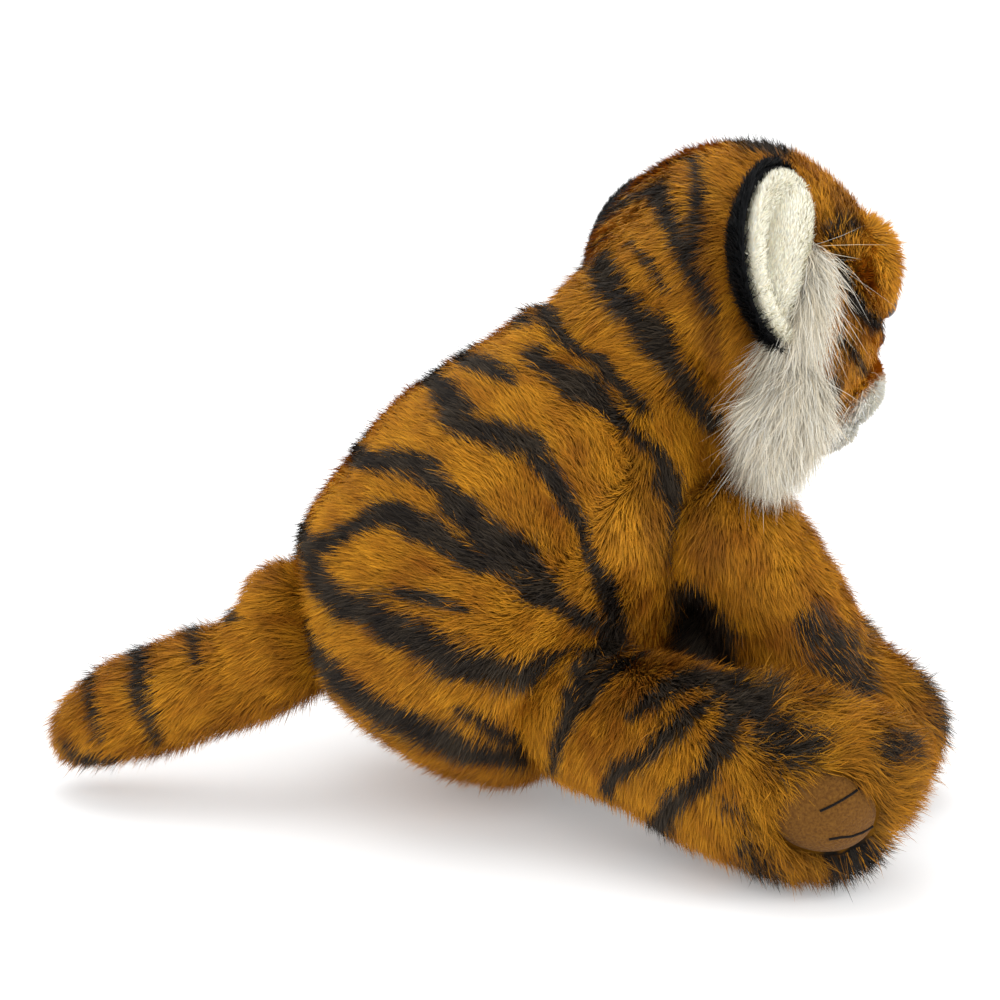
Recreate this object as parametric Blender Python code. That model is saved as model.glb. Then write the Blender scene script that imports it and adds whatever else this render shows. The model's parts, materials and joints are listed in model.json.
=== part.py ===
"""A floppy stuffed tiger cub, sitting, about 38 cm from snout to tail tip and 27 cm tall.

The cub faces +X, its left side is +Y and the floor is Z = 0. The origin is the middle of the flat
patch that the rump sits on. Every stuffed part is a sewn skin, open where it is joined to its
neighbour, round its own filling. A limb's open root is hollowed to the shape of the body that it
is sewn to, with room for the limb to swing on its seam.
"""

import math
from dataclasses import dataclass, replace

import bmesh
import bpy
from mathutils import Matrix, Vector
from mathutils.bvhtree import BVHTree

FORWARD = Vector((1, 0, 0))
LEFT = Vector((0, 1, 0))
UP = Vector((0, 0, 1))
RIGHT_SIDE = -1
LEFT_SIDE = 1
SIDE_NAMES = {RIGHT_SIDE: "right", LEFT_SIDE: "left"}

# Fabric and fits
SKIN_WALL = 0.0040
FILLING_GAP = 0.0004
SEAM_GAP = 0.0008
SWUNG_GAP = 0.0005
SEWN_ON_GAP = 0.0004
FLOOR_FLAT_DEPTH = 0.0005
OVERRUN = 0.0300

# How forms are shaped: 2 is an ellipse, more is fuller towards the ends
ELLIPSE = 2.0
STRAIGHT_TUBE = 8.0
HEADING_STEP_SHARE = 0.005
SHARP_EDGE = math.radians(40)

# Torso, from the rump up to the neck
RUMP_DEPTH = 0.1420
RUMP_WIDTH = 0.1520
RUMP_HEIGHT = 0.0720
CHEST_DEPTH = 0.1260
CHEST_WIDTH = 0.1080
CHEST_REACH = 0.0840
CHEST_HEIGHT = 0.1590
NECK_OPENING = 0.0300
TORSO_ROUNDNESS = 2.7
TORSO_SIDES = 24
TORSO_RINGS = 18
# (share of the chest's reach, share of the way up from rump to chest)
TORSO_PATH_SHARES = (
    (-0.50, -0.56), (-0.12, -0.21), (0.18, 0.18), (0.60, 0.58), (0.98, 0.96), (1.25, 1.30)
)
# (share of the chest's size, share of the rump's size) at each of those places
TORSO_DEPTH_SHARES = ((0.0, 1.04), (0.0, 1.09), (0.0, 1.11), (0.36, 0.73), (1.02, 0.0), (0.92, 0.0))
TORSO_WIDTH_SHARES = ((0.0, 1.03), (0.0, 1.03), (0.0, 1.00), (0.35, 0.62), (1.0, 0.0), (0.88, 0.0))

# Pouch of pellets that weighs the rump down
POUCH_WIDTH = 0.0800
POUCH_HEIGHT = 0.0300
POUCH_CLEARANCE = 0.0008

# Head, modelled looking straight ahead and turned at the neck
HEAD_LENGTH = 0.1250
HEAD_WIDTH = 0.1300
HEAD_HEIGHT = 0.1300
HEAD_AHEAD_OF_CHEST = 0.0375
HEAD_ABOVE_CHEST = 0.0400
HEAD_TURNED = math.radians(15)
HEAD_TURN_EACH_WAY = math.radians(17)
HEAD_TURN_STEP = math.radians(12)
HEAD_ROUNDNESS = 2.2
HEAD_SIDES = 24
HEAD_RINGS = 16
HEAD_HEIGHT_SHARES = (0.84, 0.95, 1.0, 0.97, 0.86)
HEAD_WIDTH_SHARES = (0.92, 0.98, 1.0, 0.98, 0.86)
HEAD_RISE_SHARES = (-0.04, 0.02, 0.04, 0.0, -0.06)

# Face pads, with places as shares of the head's half length, width and height from its centre
MUZZLE_SIZE = Vector((0.0460, 0.0600, 0.0430))
MUZZLE_PLACE_SHARE = Vector((0.76, 0.0, -0.56))
CHIN_SIZE = Vector((0.0340, 0.0380, 0.0260))
CHIN_PLACE_SHARE = Vector((0.66, 0.0, -0.86))
NOSE_SIZE = Vector((0.0150, 0.0220, 0.0130))
NOSE_PLACE_SHARE = Vector((1.09, 0.0, -0.29))
BROW_SIZE = Vector((0.0390, 0.0370, 0.0480))
BROW_PLACE_SHARE = Vector((0.70, 0.46, 0.27))
PAD_SIDES = 16
PAD_RINGS = 9

# Eyes: a plastic dome on a ribbed stem, held by a washer behind the skin
EYE_DIAMETER = 0.0140
EYE_DOME = 0.0052
EYE_SUNK = 0.0012
STEM_DIAMETER = 0.0042
STEM_LENGTH = 0.0110
WASHER_DIAMETER = 0.0140
WASHER_THICKNESS = 0.0018
EYE_FIT = 0.0004
EYE_AIM = Vector((0.865, 0.46, -0.02))
EYE_SIDES = 20
DOME_STEPS = 6

# Ears: a cupped back and a lining in it, sewn to the head along their middle line
EAR_LENGTH = 0.0720
EAR_STAND = 0.0820
EAR_CUP = 0.0130
EAR_BACK_THICKNESS = 0.0034
EAR_LINING_THICKNESS = 0.0034
EAR_LINING_SHARE = 0.90
EAR_THINNING_SHARE = 0.75
EAR_PLACE_SHARE = Vector((-0.15, 0.76, 0.36))
EAR_ALONG = Vector((0.24, -0.34, 0.90))
EAR_OUTS = {RIGHT_SIDE: Vector((-0.80, 0.55, 0.25)), LEFT_SIDE: Vector((0.04, 0.90, 0.36))}
LEFT_EAR_DROOP = math.radians(16)
EAR_FOLD_EACH_WAY = math.radians(6)
EAR_SIDES = 20
EAR_RINGS = 5

# Cheek ruff, a long tuft that hangs from the foot of the ear
RUFF_LENGTH = 0.0405
RUFF_WIDTH = 0.0340
RUFF_THICKNESS = 0.0150
RUFF_TOP_SHARE = Vector((-0.12, 0.93, -0.17))
RUFF_HANG_SHARES = ((0.0, 0.0, 0.0), (-0.10, 0.13, -0.34), (-0.24, 0.13, -0.68), (-0.42, 0.05, -1.0))
RUFF_WIDTH_SHARES = (0.60, 0.90, 1.0, 0.80)
RUFF_SIDES = 12
RUFF_RINGS = 9

# Front legs, from the shoulder down to the paw
FRONT_LEG_SPACING = 0.0820
SHOULDER_REACH = 0.1060
SHOULDER_HEIGHT = 0.1120
FRONT_PAW_REACH = 0.1980
FRONT_LEG_THICKNESS = 0.0620
FRONT_PAW_THICKNESS = 0.0600
FRONT_PATH_SHARES = (
    (-0.06, 0.12), (0.08, 0.0), (0.24, -0.28), (0.42, -0.53), (0.68, -0.70), (1.0, -0.745)
)
FRONT_WIDTH_SHARES = (0.96, 1.0, 0.96, 0.94, 1.06, 0.98)
FRONT_LIFT = math.radians(24)
FRONT_LIFT_STEP = math.radians(12)
LEG_SIDES = 16
LEG_RINGS = 13
LEG_ROUNDNESS = 2.6

# Hind legs, folded forward beside the body, with the sole turned outward
HIP_REACH = 0.0440
HIP_OUT = 0.0560
HIP_HEIGHT = 0.0500
HIND_FOOT_REACH = 0.1660
HIND_FOOT_OUT = 0.1370
HIND_LEG_THICKNESS = 0.0700
HIND_FOOT_THICKNESS = 0.0780
HIND_PATH_SHARES = ((-0.14, -0.30), (0.10, 0.22), (0.34, 0.62), (0.66, 0.90), (1.0, 1.0))
HIND_HEIGHT_SHARES = (0.92, 0.94, 0.98, 1.0, 0.94)
HIND_WIDTH_SHARES = (0.80, 0.82, 0.86, 0.90, 0.84)
HIND_SPLAY = math.radians(12)
HIND_TUCK = math.radians(3)
HIND_STEP = math.radians(8)

# Suede pads on the soles
PAD_THICKNESS = 0.0018
HIND_PAD_SIZE = Vector((0.0470, 0.0420))
HIND_PAD_PLACE_SHARE = 0.66
HIND_PAD_AIM = Vector((0.14, 0.90, -0.40))
FRONT_PAD_SIZE = Vector((0.0300, 0.0260))
FRONT_PAD_PLACE_SHARE = 0.80
FRONT_PAD_AIM = Vector((0.86, 0.0, -0.50))
PAD_OUTLINE_SIDES = 20

# Tail, laid back along the floor and a little to the left
TAIL_ROOT_AIM = Vector((-0.91, 0.013, -0.41))
TAIL_ROOT_RELIEF = 0.0012
TAIL_LENGTH = 0.1010
TAIL_ASIDE = 0.0300
TAIL_THICKNESS = 0.0440
TAIL_FLAT_WAY = Vector((0.0, 1.0, 0.2))
TAIL_TIP_HEIGHT = 0.0190
TAIL_PATH_SHARES = (
    (-0.22, 0.0, 1.0), (0.14, 0.05, 0.93), (0.50, 0.28, 0.55), (0.78, 0.60, 0.18), (1.0, 1.0, 0.0)
)
TAIL_WIDTH_SHARES = (0.98, 0.98, 1.0, 0.95, 0.88)
TAIL_SWING = math.radians(20)
TAIL_SIDES = 16
TAIL_RINGS = 12

# Colours, as linear red, green and blue, and surface finishes
ORANGE_FUR = (0.45, 0.17, 0.03)
BLACK_FUR = (0.010, 0.011, 0.013)
CREAM_FUR = (0.72, 0.66, 0.55)
WHITE_FUR = (0.72, 0.70, 0.62)
FILLING_WHITE = (0.85, 0.85, 0.83)
PELLET_GREY = (0.60, 0.60, 0.58)
TAN_SUEDE = (0.30, 0.13, 0.045)
AMBER = (0.42, 0.17, 0.02)
NOSE_BROWN = (0.20, 0.07, 0.05)
WASHER_WHITE = (0.80, 0.80, 0.80)
FUR_ROUGHNESS = 0.90
SUEDE_ROUGHNESS = 0.85
GLOSS_ROUGHNESS = 0.08
PLASTIC_ROUGHNESS = 0.50


@dataclass
class Form:
    """A stuffed form: rings of half width and half height along a smooth path, closing to a point
    at both ends. The half widths are measured along side."""

    path: list
    half_widths: list
    half_heights: list
    side: Vector
    roundness: float
    sides: int
    rings: int


def along(values, share):
    """The value at a share of the way along a smooth curve through equally spaced values."""
    last = len(values) - 1
    place = min(max(share, 0), 1) * last
    i = min(int(place), last - 1)
    t = place - i
    before, start = values[max(i - 1, 0)], values[i]
    end, after = values[i + 1], values[min(i + 2, last)]
    slopes = (end - before) * t + (before * 2 - start * 5 + end * 4 - after) * t**2
    return (start * 2 + slopes + (start * 3 - before - end * 3 + after) * t**3) / 2


def heading(path, share):
    """The direction of a smooth path at a share of its way."""
    ahead = along(path, share + HEADING_STEP_SHARE)
    return (ahead - along(path, share - HEADING_STEP_SHARE)).normalized()


def form_rings(form, growth=0):
    """Each ring as (centre, half width vector, half height vector), with the form grown by growth."""
    found = []
    for i in range(form.rings + 1):
        share = (1 - math.cos(math.pi * i / form.rings)) / 2
        forward = heading(form.path, share)
        across = (form.side - forward * form.side.dot(forward)).normalized()
        over = forward.cross(across)
        fullness = max(0, 1 - abs(2 * share - 1) ** form.roundness) ** (1 / form.roundness)
        centre = along(form.path, share) + forward * growth * (2 * share - 1)
        wide = (along(form.half_widths, share) + growth) * fullness
        high = (along(form.half_heights, share) + growth) * fullness
        found.append((centre, across * wide, over * high))
    return found


def add_skin(bm, rings, sides):
    """Adds the closed surface over rings to bm."""
    turns = [2 * math.pi * j / sides for j in range(sides)]
    hoops = [
        [bm.verts.new(centre + wide * math.cos(turn) + high * math.sin(turn)) for turn in turns]
        for centre, wide, high in rings[1:-1]
    ]
    first, last = bm.verts.new(rings[0][0]), bm.verts.new(rings[-1][0])
    faces = []
    for j in range(sides):
        k = (j + 1) % sides
        faces.append((first, hoops[0][k], hoops[0][j]))
        faces.append((last, hoops[-1][j], hoops[-1][k]))
        for low, high in zip(hoops, hoops[1:]):
            faces.append((low[j], low[k], high[k], high[j]))
    for face in faces:
        bm.faces.new(face)


def mesh_from(bm, name):
    """Turns bm into a smooth mesh and frees it."""
    mesh = bpy.data.meshes.new(name)
    bm.to_mesh(mesh)
    bm.free()
    mesh.shade_smooth()
    return mesh


def solid_mesh(name, form, growth=0):
    """The mesh of a form as one solid."""
    bm = bmesh.new()
    add_skin(bm, form_rings(form, growth), form.sides)
    return mesh_from(bm, name)


def lowest(form):
    """The lowest height that a form reaches."""
    low = []
    for centre, wide, high in form_rings(form):
        for j in range(form.sides):
            turn = 2 * math.pi * j / form.sides
            low.append((centre + wide * math.cos(turn) + high * math.sin(turn)).z)
    return min(low)


def settled(form):
    """The form set down on the floor, with its lowest point just under it, where it is cut flat."""
    drop = UP * (lowest(form) + FLOOR_FLAT_DEPTH)
    return replace(form, path=[point - drop for point in form.path])


def place_object(name, mesh, parent=None):
    """A new object in the scene. Its mesh is in world coordinates, less its parent's own place."""
    piece = bpy.data.objects.new(name, mesh)
    bpy.context.scene.collection.objects.link(piece)
    if parent is not None:
        piece.parent = parent
        piece.matrix_parent_inverse = Matrix.Translation(parent.location).inverted()
    return piece


def pivot_empty(name, place, turned=0):
    """The empty on a joint's axis that carries a moving body's pieces."""
    empty = bpy.data.objects.new(name, None)
    bpy.context.scene.collection.objects.link(empty)
    empty.location = place
    empty.rotation_euler = (0, 0, turned)
    return empty


def finish(piece, colour, roughness):
    """Gives a piece its own plain material."""
    material = bpy.data.materials.new(piece.name + "_finish")
    material.use_nodes = True
    shader = material.node_tree.nodes["Principled BSDF"]
    shader.inputs["Base Color"].default_value = (*colour, 1)
    shader.inputs["Roughness"].default_value = roughness
    shader.inputs["Metallic"].default_value = 0
    piece.data.materials.clear()
    piece.data.materials.append(material)
    piece.material_slots[0].link = "OBJECT"
    piece.material_slots[0].material = material


def as_cutter(name, mesh, matrix=None):
    """A hidden object that is only cut with."""
    cutter = bpy.data.objects.new(name, mesh)
    bpy.context.scene.collection.objects.link(cutter)
    cutter.hide_render = True
    cutter.display_type = "WIRE"
    if matrix is not None:
        cutter.matrix_world = matrix
    return cutter


def cut(piece, cutter, operation="DIFFERENCE"):
    """Cuts a piece with a cutter, or keeps only what they share."""
    step = piece.modifiers.new("cut_" + cutter.name, "BOOLEAN")
    step.object = cutter
    step.operation = operation
    step.solver = "EXACT"


def box_mesh(name, low, high):
    """A box between two corners."""
    bm = bmesh.new()
    bmesh.ops.create_cube(bm, size=1)
    for vert in bm.verts:
        for k in range(3):
            vert.co[k] = high[k] if vert.co[k] > 0 else low[k]
    return mesh_from(bm, name)


def turned_about(place, axis, angle):
    """The matrix that turns about an axis through a place."""
    return Matrix.Translation(place) @ Matrix.Rotation(angle, 4, axis) @ Matrix.Translation(-place)


def swing_cutters(name, body, place, axis, lowest_angle, highest_angle, step):
    """Copies of a body's outside as the piece that swings on it meets it, from limit to limit. The
    copy at rest is the fullest, so that near the axis it alone shapes the seam."""
    count = math.ceil((highest_angle - lowest_angle) / step)
    angles = [lowest_angle + (highest_angle - lowest_angle) * i / count for i in range(count + 1)]
    swung = solid_mesh(name + "_swung", body, SWUNG_GAP)
    cutters = [as_cutter(name + "_rest", solid_mesh(name + "_rest", body, SEAM_GAP))]
    for i, angle in enumerate(angles):
        if angle:
            cutters.append(as_cutter(f"{name}_{i}", swung, turned_about(place, axis, -angle)))
    return cutters


def stuffed_part(name, form, parent, cutters, colour, skin_cutters=(), filling_cutters=()):
    """A sewn skin and the filling in it, both cut where they meet their neighbours. The skin is
    hollowed last, so that its hollow opens through the cuts."""
    skin = place_object(name + "_skin", solid_mesh(name + "_skin", form), parent)
    filling_form = solid_mesh(name + "_stuffing", form, -(SKIN_WALL + FILLING_GAP))
    filling = place_object(name + "_stuffing", filling_form, parent)
    hollow = as_cutter(name + "_hollow", solid_mesh(name + "_hollow", form, -SKIN_WALL))
    if parent is not None:
        hollow.matrix_world = turned_about(parent.location, UP, parent.rotation_euler.z)
    for cutter in [*cutters, *skin_cutters, hollow]:
        cut(skin, cutter)
    for cutter in [*cutters, *filling_cutters]:
        cut(filling, cutter)
    finish(skin, colour, FUR_ROUGHNESS)
    finish(filling, FILLING_WHITE, FUR_ROUGHNESS)


def torso_form():
    """The torso: a wide rump that narrows and leans forward up to the neck."""
    rise = CHEST_HEIGHT - RUMP_HEIGHT
    path = [
        Vector((reach * CHEST_REACH, 0, RUMP_HEIGHT + up * rise)) for reach, up in TORSO_PATH_SHARES
    ]
    depths = [
        (chest * CHEST_DEPTH + rump * RUMP_DEPTH) / 2 for chest, rump in TORSO_DEPTH_SHARES
    ]
    widths = [
        (chest * CHEST_WIDTH + rump * RUMP_WIDTH) / 2 for chest, rump in TORSO_WIDTH_SHARES
    ]
    form = Form(path, widths, depths, LEFT, TORSO_ROUNDNESS, TORSO_SIDES, TORSO_RINGS)
    return settled(form)


def ellipsoid_form(centre, size, along_axis):
    """A plain rounded pad of a size, with its poles along an axis."""
    half = along_axis.normalized() * size.x / 2
    path = [centre - half, centre, centre + half]
    widths, heights = [size.y / 2] * 3, [size.z / 2] * 3
    return Form(path, widths, heights, LEFT, ELLIPSE, PAD_SIDES, PAD_RINGS)


def neck_opening(torso):
    """The cutter for the open neck, through which the torso is filled."""
    end = torso.path[-1]
    axis = heading(torso.path, 1)
    form = Form(
        [end - axis * OVERRUN, end, end + axis * OVERRUN],
        [NECK_OPENING / 2] * 3,
        [NECK_OPENING / 2] * 3,
        LEFT,
        STRAIGHT_TUBE,
        TORSO_SIDES,
        PAD_RINGS,
    )
    return as_cutter("neck_opening", solid_mesh("neck_opening", form))


def pouch_form():
    """The pellet pouch before it takes the shape of the seat that it lies on."""
    size = Vector((POUCH_HEIGHT, POUCH_WIDTH, POUCH_WIDTH))
    return ellipsoid_form(UP * POUCH_HEIGHT / 2, size, UP)


def build_torso(torso, floor):
    """The torso's skin, filling and pellet pouch."""
    pouch = pouch_form()
    pocket = as_cutter("pouch_pocket", solid_mesh("pouch_pocket", pouch, POUCH_CLEARANCE))
    stuffed_part("torso", torso, None, [floor], ORANGE_FUR, [neck_opening(torso)], [pocket])
    piece = place_object("pellet_pouch", solid_mesh("pellet_pouch", pouch))
    inside_form = solid_mesh("torso_inside", torso, -(SKIN_WALL + FILLING_GAP))
    cut(piece, as_cutter("torso_inside", inside_form), "INTERSECT")
    finish(piece, PELLET_GREY, FUR_ROUGHNESS)


def head_place(share):
    """A place on the head, as shares of its half length, width and height, looking straight ahead."""
    centre = Vector((CHEST_REACH + HEAD_AHEAD_OF_CHEST, 0, CHEST_HEIGHT + HEAD_ABOVE_CHEST))
    return centre + Vector(
        (share.x * HEAD_LENGTH / 2, share.y * HEAD_WIDTH / 2, share.z * HEAD_HEIGHT / 2)
    )


def head_form():
    """The head, tallest in the middle."""
    last = len(HEAD_RISE_SHARES) - 1
    path = [
        head_place(Vector((2 * i / last - 1, 0, rise))) for i, rise in enumerate(HEAD_RISE_SHARES)
    ]
    widths = [share * HEAD_WIDTH / 2 for share in HEAD_WIDTH_SHARES]
    heights = [share * HEAD_HEIGHT / 2 for share in HEAD_HEIGHT_SHARES]
    return Form(path, widths, heights, LEFT, HEAD_ROUNDNESS, HEAD_SIDES, HEAD_RINGS)


def mirrored(vector, side):
    """A vector given for the left side, on a side."""
    return Vector((vector.x, side * vector.y, vector.z))


def in_head(head):
    """The matrix from the head looking straight ahead to the head as it is turned."""
    return turned_about(head.location, UP, HEAD_TURNED)


def sewn_on(name, mesh, parent, cutters, colour, roughness):
    """A piece that is sewn on and cut to what it sits on."""
    piece = place_object(name, mesh, parent)
    for cutter in cutters:
        cut(piece, cutter)
    finish(piece, colour, roughness)
    return piece


def turned_profile(name, profile, closed, place, axis):
    """A turned piece: a profile of (radius, height) swept about an axis through a place."""
    bm = bmesh.new()
    frame = axis.to_track_quat("Z", "Y").to_matrix().to_4x4()
    frame.translation = place
    hoops = []
    for radius, height in profile:
        if radius == 0:
            hoops.append([bm.verts.new(frame @ Vector((0, 0, height)))] * EYE_SIDES)
            continue
        turns = [2 * math.pi * j / EYE_SIDES for j in range(EYE_SIDES)]
        hoops.append(
            [
                bm.verts.new(frame @ Vector((radius * math.cos(t), radius * math.sin(t), height)))
                for t in turns
            ]
        )
    pairs = list(zip(hoops, hoops[1:])) + ([(hoops[-1], hoops[0])] if closed else [])
    for above, below in pairs:
        for j in range(EYE_SIDES):
            k = (j + 1) % EYE_SIDES
            corners = list(dict.fromkeys((above[j], below[j], below[k], above[k])))
            bm.faces.new(corners)
    mesh = mesh_from(bm, name)
    mesh.set_sharp_from_angle(angle=SHARP_EDGE)
    return mesh


def eye_profile():
    """A dome, its flat back and its stem, from the top down."""
    radius = EYE_DIAMETER / 2
    turns = [math.pi / 2 * i / DOME_STEPS for i in range(DOME_STEPS + 1)]
    dome = [(radius * math.sin(turn), EYE_DOME * math.cos(turn)) for turn in turns]
    stem = STEM_DIAMETER / 2
    return dome + [(stem, 0), (stem, -STEM_LENGTH), (0, -STEM_LENGTH)]


def washer_profile():
    """A flat ring, outer edge first."""
    inner, outer = STEM_DIAMETER / 2 + EYE_FIT, WASHER_DIAMETER / 2
    return [(inner, 0), (outer, 0), (outer, -WASHER_THICKNESS), (inner, -WASHER_THICKNESS)]


def socket_profile():
    """What an eye needs cut from the skin: a seat for its dome and a hole for its stem."""
    seat, hole = EYE_DIAMETER / 2 + EYE_FIT, STEM_DIAMETER / 2 + EYE_FIT
    wide = [(0, OVERRUN), (seat, OVERRUN), (seat, -EYE_FIT)]
    return wide + [(hole, -EYE_FIT), (hole, -OVERRUN), (0, -OVERRUN)]


def recess_profile():
    """What an eye needs cut from the filling: room for its washer and the end of its stem."""
    radius, depth = WASHER_DIAMETER / 2 + EYE_FIT, STEM_LENGTH + EYE_FIT
    return [(0, OVERRUN), (radius, OVERRUN), (radius, -depth), (0, -depth)]


def surface_place(form, aim):
    """Where a ray from the form's middle along aim leaves it, and the way that the form faces there."""
    bm = bmesh.new()
    add_skin(bm, form_rings(form), form.sides)
    bmesh.ops.recalc_face_normals(bm, faces=bm.faces)
    place, normal, _, _ = BVHTree.FromBMesh(bm).ray_cast(along(form.path, 1 / 2), aim)
    bm.free()
    return place, normal


def build_eye(side, head, form):
    """One eye and its washer. Returns what cuts its socket in the skin and the washer's recess in
    the filling."""
    label = SIDE_NAMES[side] + "_eye"
    place, aim = surface_place(form, mirrored(EYE_AIM, side).normalized())
    seat = place - aim * EYE_SUNK
    behind = seat - aim * (SKIN_WALL + FILLING_GAP)
    eye = place_object(label, turned_profile(label, eye_profile(), False, seat, aim), head)
    finish(eye, AMBER, GLOSS_ROUGHNESS)
    name = label + "_washer"
    washer = place_object(name, turned_profile(name, washer_profile(), True, behind, aim), head)
    finish(washer, WASHER_WHITE, PLASTIC_ROUGHNESS)
    cutters = []
    for use, profile in (("_socket", socket_profile()), ("_recess", recess_profile())):
        mesh = turned_profile(label + use, profile, False, seat, aim)
        cutters.append(as_cutter(label + use, mesh, in_head(head)))
    return cutters


def build_brow(side, head, cutters):
    """The padded mound over one eye."""
    label = SIDE_NAMES[side] + "_brow"
    place = head_place(mirrored(BROW_PLACE_SHARE, side))
    form = ellipsoid_form(place, BROW_SIZE, FORWARD)
    sewn_on(label, solid_mesh(label, form), head, cutters, ORANGE_FUR, FUR_ROUGHNESS)


def build_ruff(side, head, cutters):
    """The long tuft under one ear."""
    label = SIDE_NAMES[side] + "_cheek_ruff"
    top = head_place(ear_direction(RUFF_TOP_SHARE, side))
    path = [
        top + mirrored(Vector(share), side) * RUFF_LENGTH for share in RUFF_HANG_SHARES
    ]
    widths = [share * RUFF_WIDTH / 2 for share in RUFF_WIDTH_SHARES]
    heights = [RUFF_THICKNESS / 2] * len(path)
    form = Form(path, widths, heights, FORWARD, LEG_ROUNDNESS, RUFF_SIDES, RUFF_RINGS)
    sewn_on(label, solid_mesh(label, form), head, cutters, CREAM_FUR, FUR_ROUGHNESS)


def ear_direction(vector, side):
    """A direction or share given for the left ear as it stands up, on a side. The left ear has
    slipped down round the head."""
    droop = LEFT_EAR_DROOP if side == LEFT_SIDE else 0
    return Matrix.Rotation(-droop, 3, FORWARD) @ mirrored(vector, side)


def ear_axes(side):
    """The directions along an ear's seam, out from the head and the way that its lining faces."""
    along_ear = ear_direction(EAR_ALONG, side).normalized()
    out = ear_direction(EAR_OUTS[side], side)
    out = (out - along_ear * out.dot(along_ear)).normalized()
    front = along_ear.cross(out)
    return along_ear, out, front if front.x > 0 else -front


def ear_layer(name, place, side, size_share, start, thickness):
    """One layer of an ear: a cupped disc that starts a distance in front of the cup and thins to
    its rim. Half of it lies in the head, which it is cut to."""
    along_ear, out, front = ear_axes(side)
    half_long, half_out = EAR_LENGTH / 2, EAR_STAND / 2
    bm = bmesh.new()

    def point(ring, j, layer):
        spread = size_share * ring / EAR_RINGS
        turn = 2 * math.pi * j / EAR_SIDES
        x, y = spread * math.cos(turn), spread * math.sin(turn)
        cup = EAR_CUP * (x * x + y * y - 1)
        filled = math.sqrt(1 - EAR_THINNING_SHARE * (ring / EAR_RINGS) ** 2)
        return (
            place
            + along_ear * x * half_long
            + out * y * half_out
            + front * (cup + start + layer * thickness * filled)
        )

    rims = []
    for layer in (0, 1):
        middle = bm.verts.new(point(0, 0, layer))
        hoops = [
            [bm.verts.new(point(ring, j, layer)) for j in range(EAR_SIDES)]
            for ring in range(1, EAR_RINGS + 1)
        ]
        rims.append(hoops[-1])
        for j in range(EAR_SIDES):
            k = (j + 1) % EAR_SIDES
            bm.faces.new((middle, hoops[0][j], hoops[0][k]))
            for small, large in zip(hoops, hoops[1:]):
                bm.faces.new((small[j], large[j], large[k], small[k]))
    for j in range(EAR_SIDES):
        k = (j + 1) % EAR_SIDES
        bm.faces.new((rims[0][j], rims[0][k], rims[1][k], rims[1][j]))
    bmesh.ops.recalc_face_normals(bm, faces=bm.faces)
    return mesh_from(bm, name)


def build_ear(side, head, form):
    """One ear: the black back and the pale lining in it, folding together on the seam."""
    label = SIDE_NAMES[side] + "_ear"
    centre = head_place(ear_direction(EAR_PLACE_SHARE, side))
    middle = along(form.path, 1 / 2)
    place, _ = surface_place(form, (centre - middle).normalized())
    pivot = pivot_empty(label, Vector(), 0)
    pivot.parent = head
    pivot.matrix_parent_inverse = Matrix.Translation(head.location).inverted()
    pivot.location = place - ear_axes(side)[2] * EAR_CUP / 2
    fold = EAR_FOLD_EACH_WAY
    axis = ear_axes(side)[0]
    cutters = swing_cutters(label + "_seam", form, pivot.location, axis, -fold, fold, fold)
    for cutter in cutters:
        cutter.matrix_world = in_head(head) @ cutter.matrix_world
    layers = (
        ("_back", 1, -EAR_BACK_THICKNESS, EAR_BACK_THICKNESS, BLACK_FUR),
        ("_lining", EAR_LINING_SHARE, SEWN_ON_GAP, EAR_LINING_THICKNESS, CREAM_FUR),
    )
    for end, share, start, thickness, colour in layers:
        mesh = ear_layer(label + end, place, side, share, start, thickness)
        sewn_on(label + end, mesh, pivot, cutters, colour, FUR_ROUGHNESS)


def build_head(head, torso):
    """The head's skin and filling, its face and its ears."""
    form = head_form()
    turns = (-HEAD_TURN_EACH_WAY - HEAD_TURNED, HEAD_TURN_EACH_WAY - HEAD_TURNED)
    cutters = swing_cutters("neck_seam", torso, head.location, UP, *turns, HEAD_TURN_STEP)
    skin_cutters, filling_cutters = [], []
    for side in SIDE_NAMES:
        socket, recess = build_eye(side, head, form)
        skin_cutters.append(socket)
        filling_cutters.append(recess)
    stuffed_part("head", form, head, cutters, ORANGE_FUR, skin_cutters, filling_cutters)
    outside = as_cutter(
        "head_outside", solid_mesh("head_outside", form, SEWN_ON_GAP), in_head(head)
    )
    for side, socket in zip(SIDE_NAMES, skin_cutters):
        build_brow(side, head, [outside, socket])
        build_ruff(side, head, [outside, *cutters])
    muzzle_form = ellipsoid_form(head_place(MUZZLE_PLACE_SHARE), MUZZLE_SIZE, FORWARD)
    sewn_on("muzzle", solid_mesh("muzzle", muzzle_form), head, [outside], WHITE_FUR, FUR_ROUGHNESS)
    muzzle_outside = as_cutter(
        "muzzle_outside", solid_mesh("muzzle_outside", muzzle_form, SEWN_ON_GAP), in_head(head)
    )
    chin_form = ellipsoid_form(head_place(CHIN_PLACE_SHARE), CHIN_SIZE, FORWARD)
    under = [outside, muzzle_outside]
    sewn_on("chin", solid_mesh("chin", chin_form), head, under + cutters, WHITE_FUR, FUR_ROUGHNESS)
    nose_form = ellipsoid_form(head_place(NOSE_PLACE_SHARE), NOSE_SIZE, FORWARD)
    sewn_on("nose", solid_mesh("nose", nose_form), head, under, NOSE_BROWN, PLASTIC_ROUGHNESS)
    for side in SIDE_NAMES:
        build_ear(side, head, form)


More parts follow.
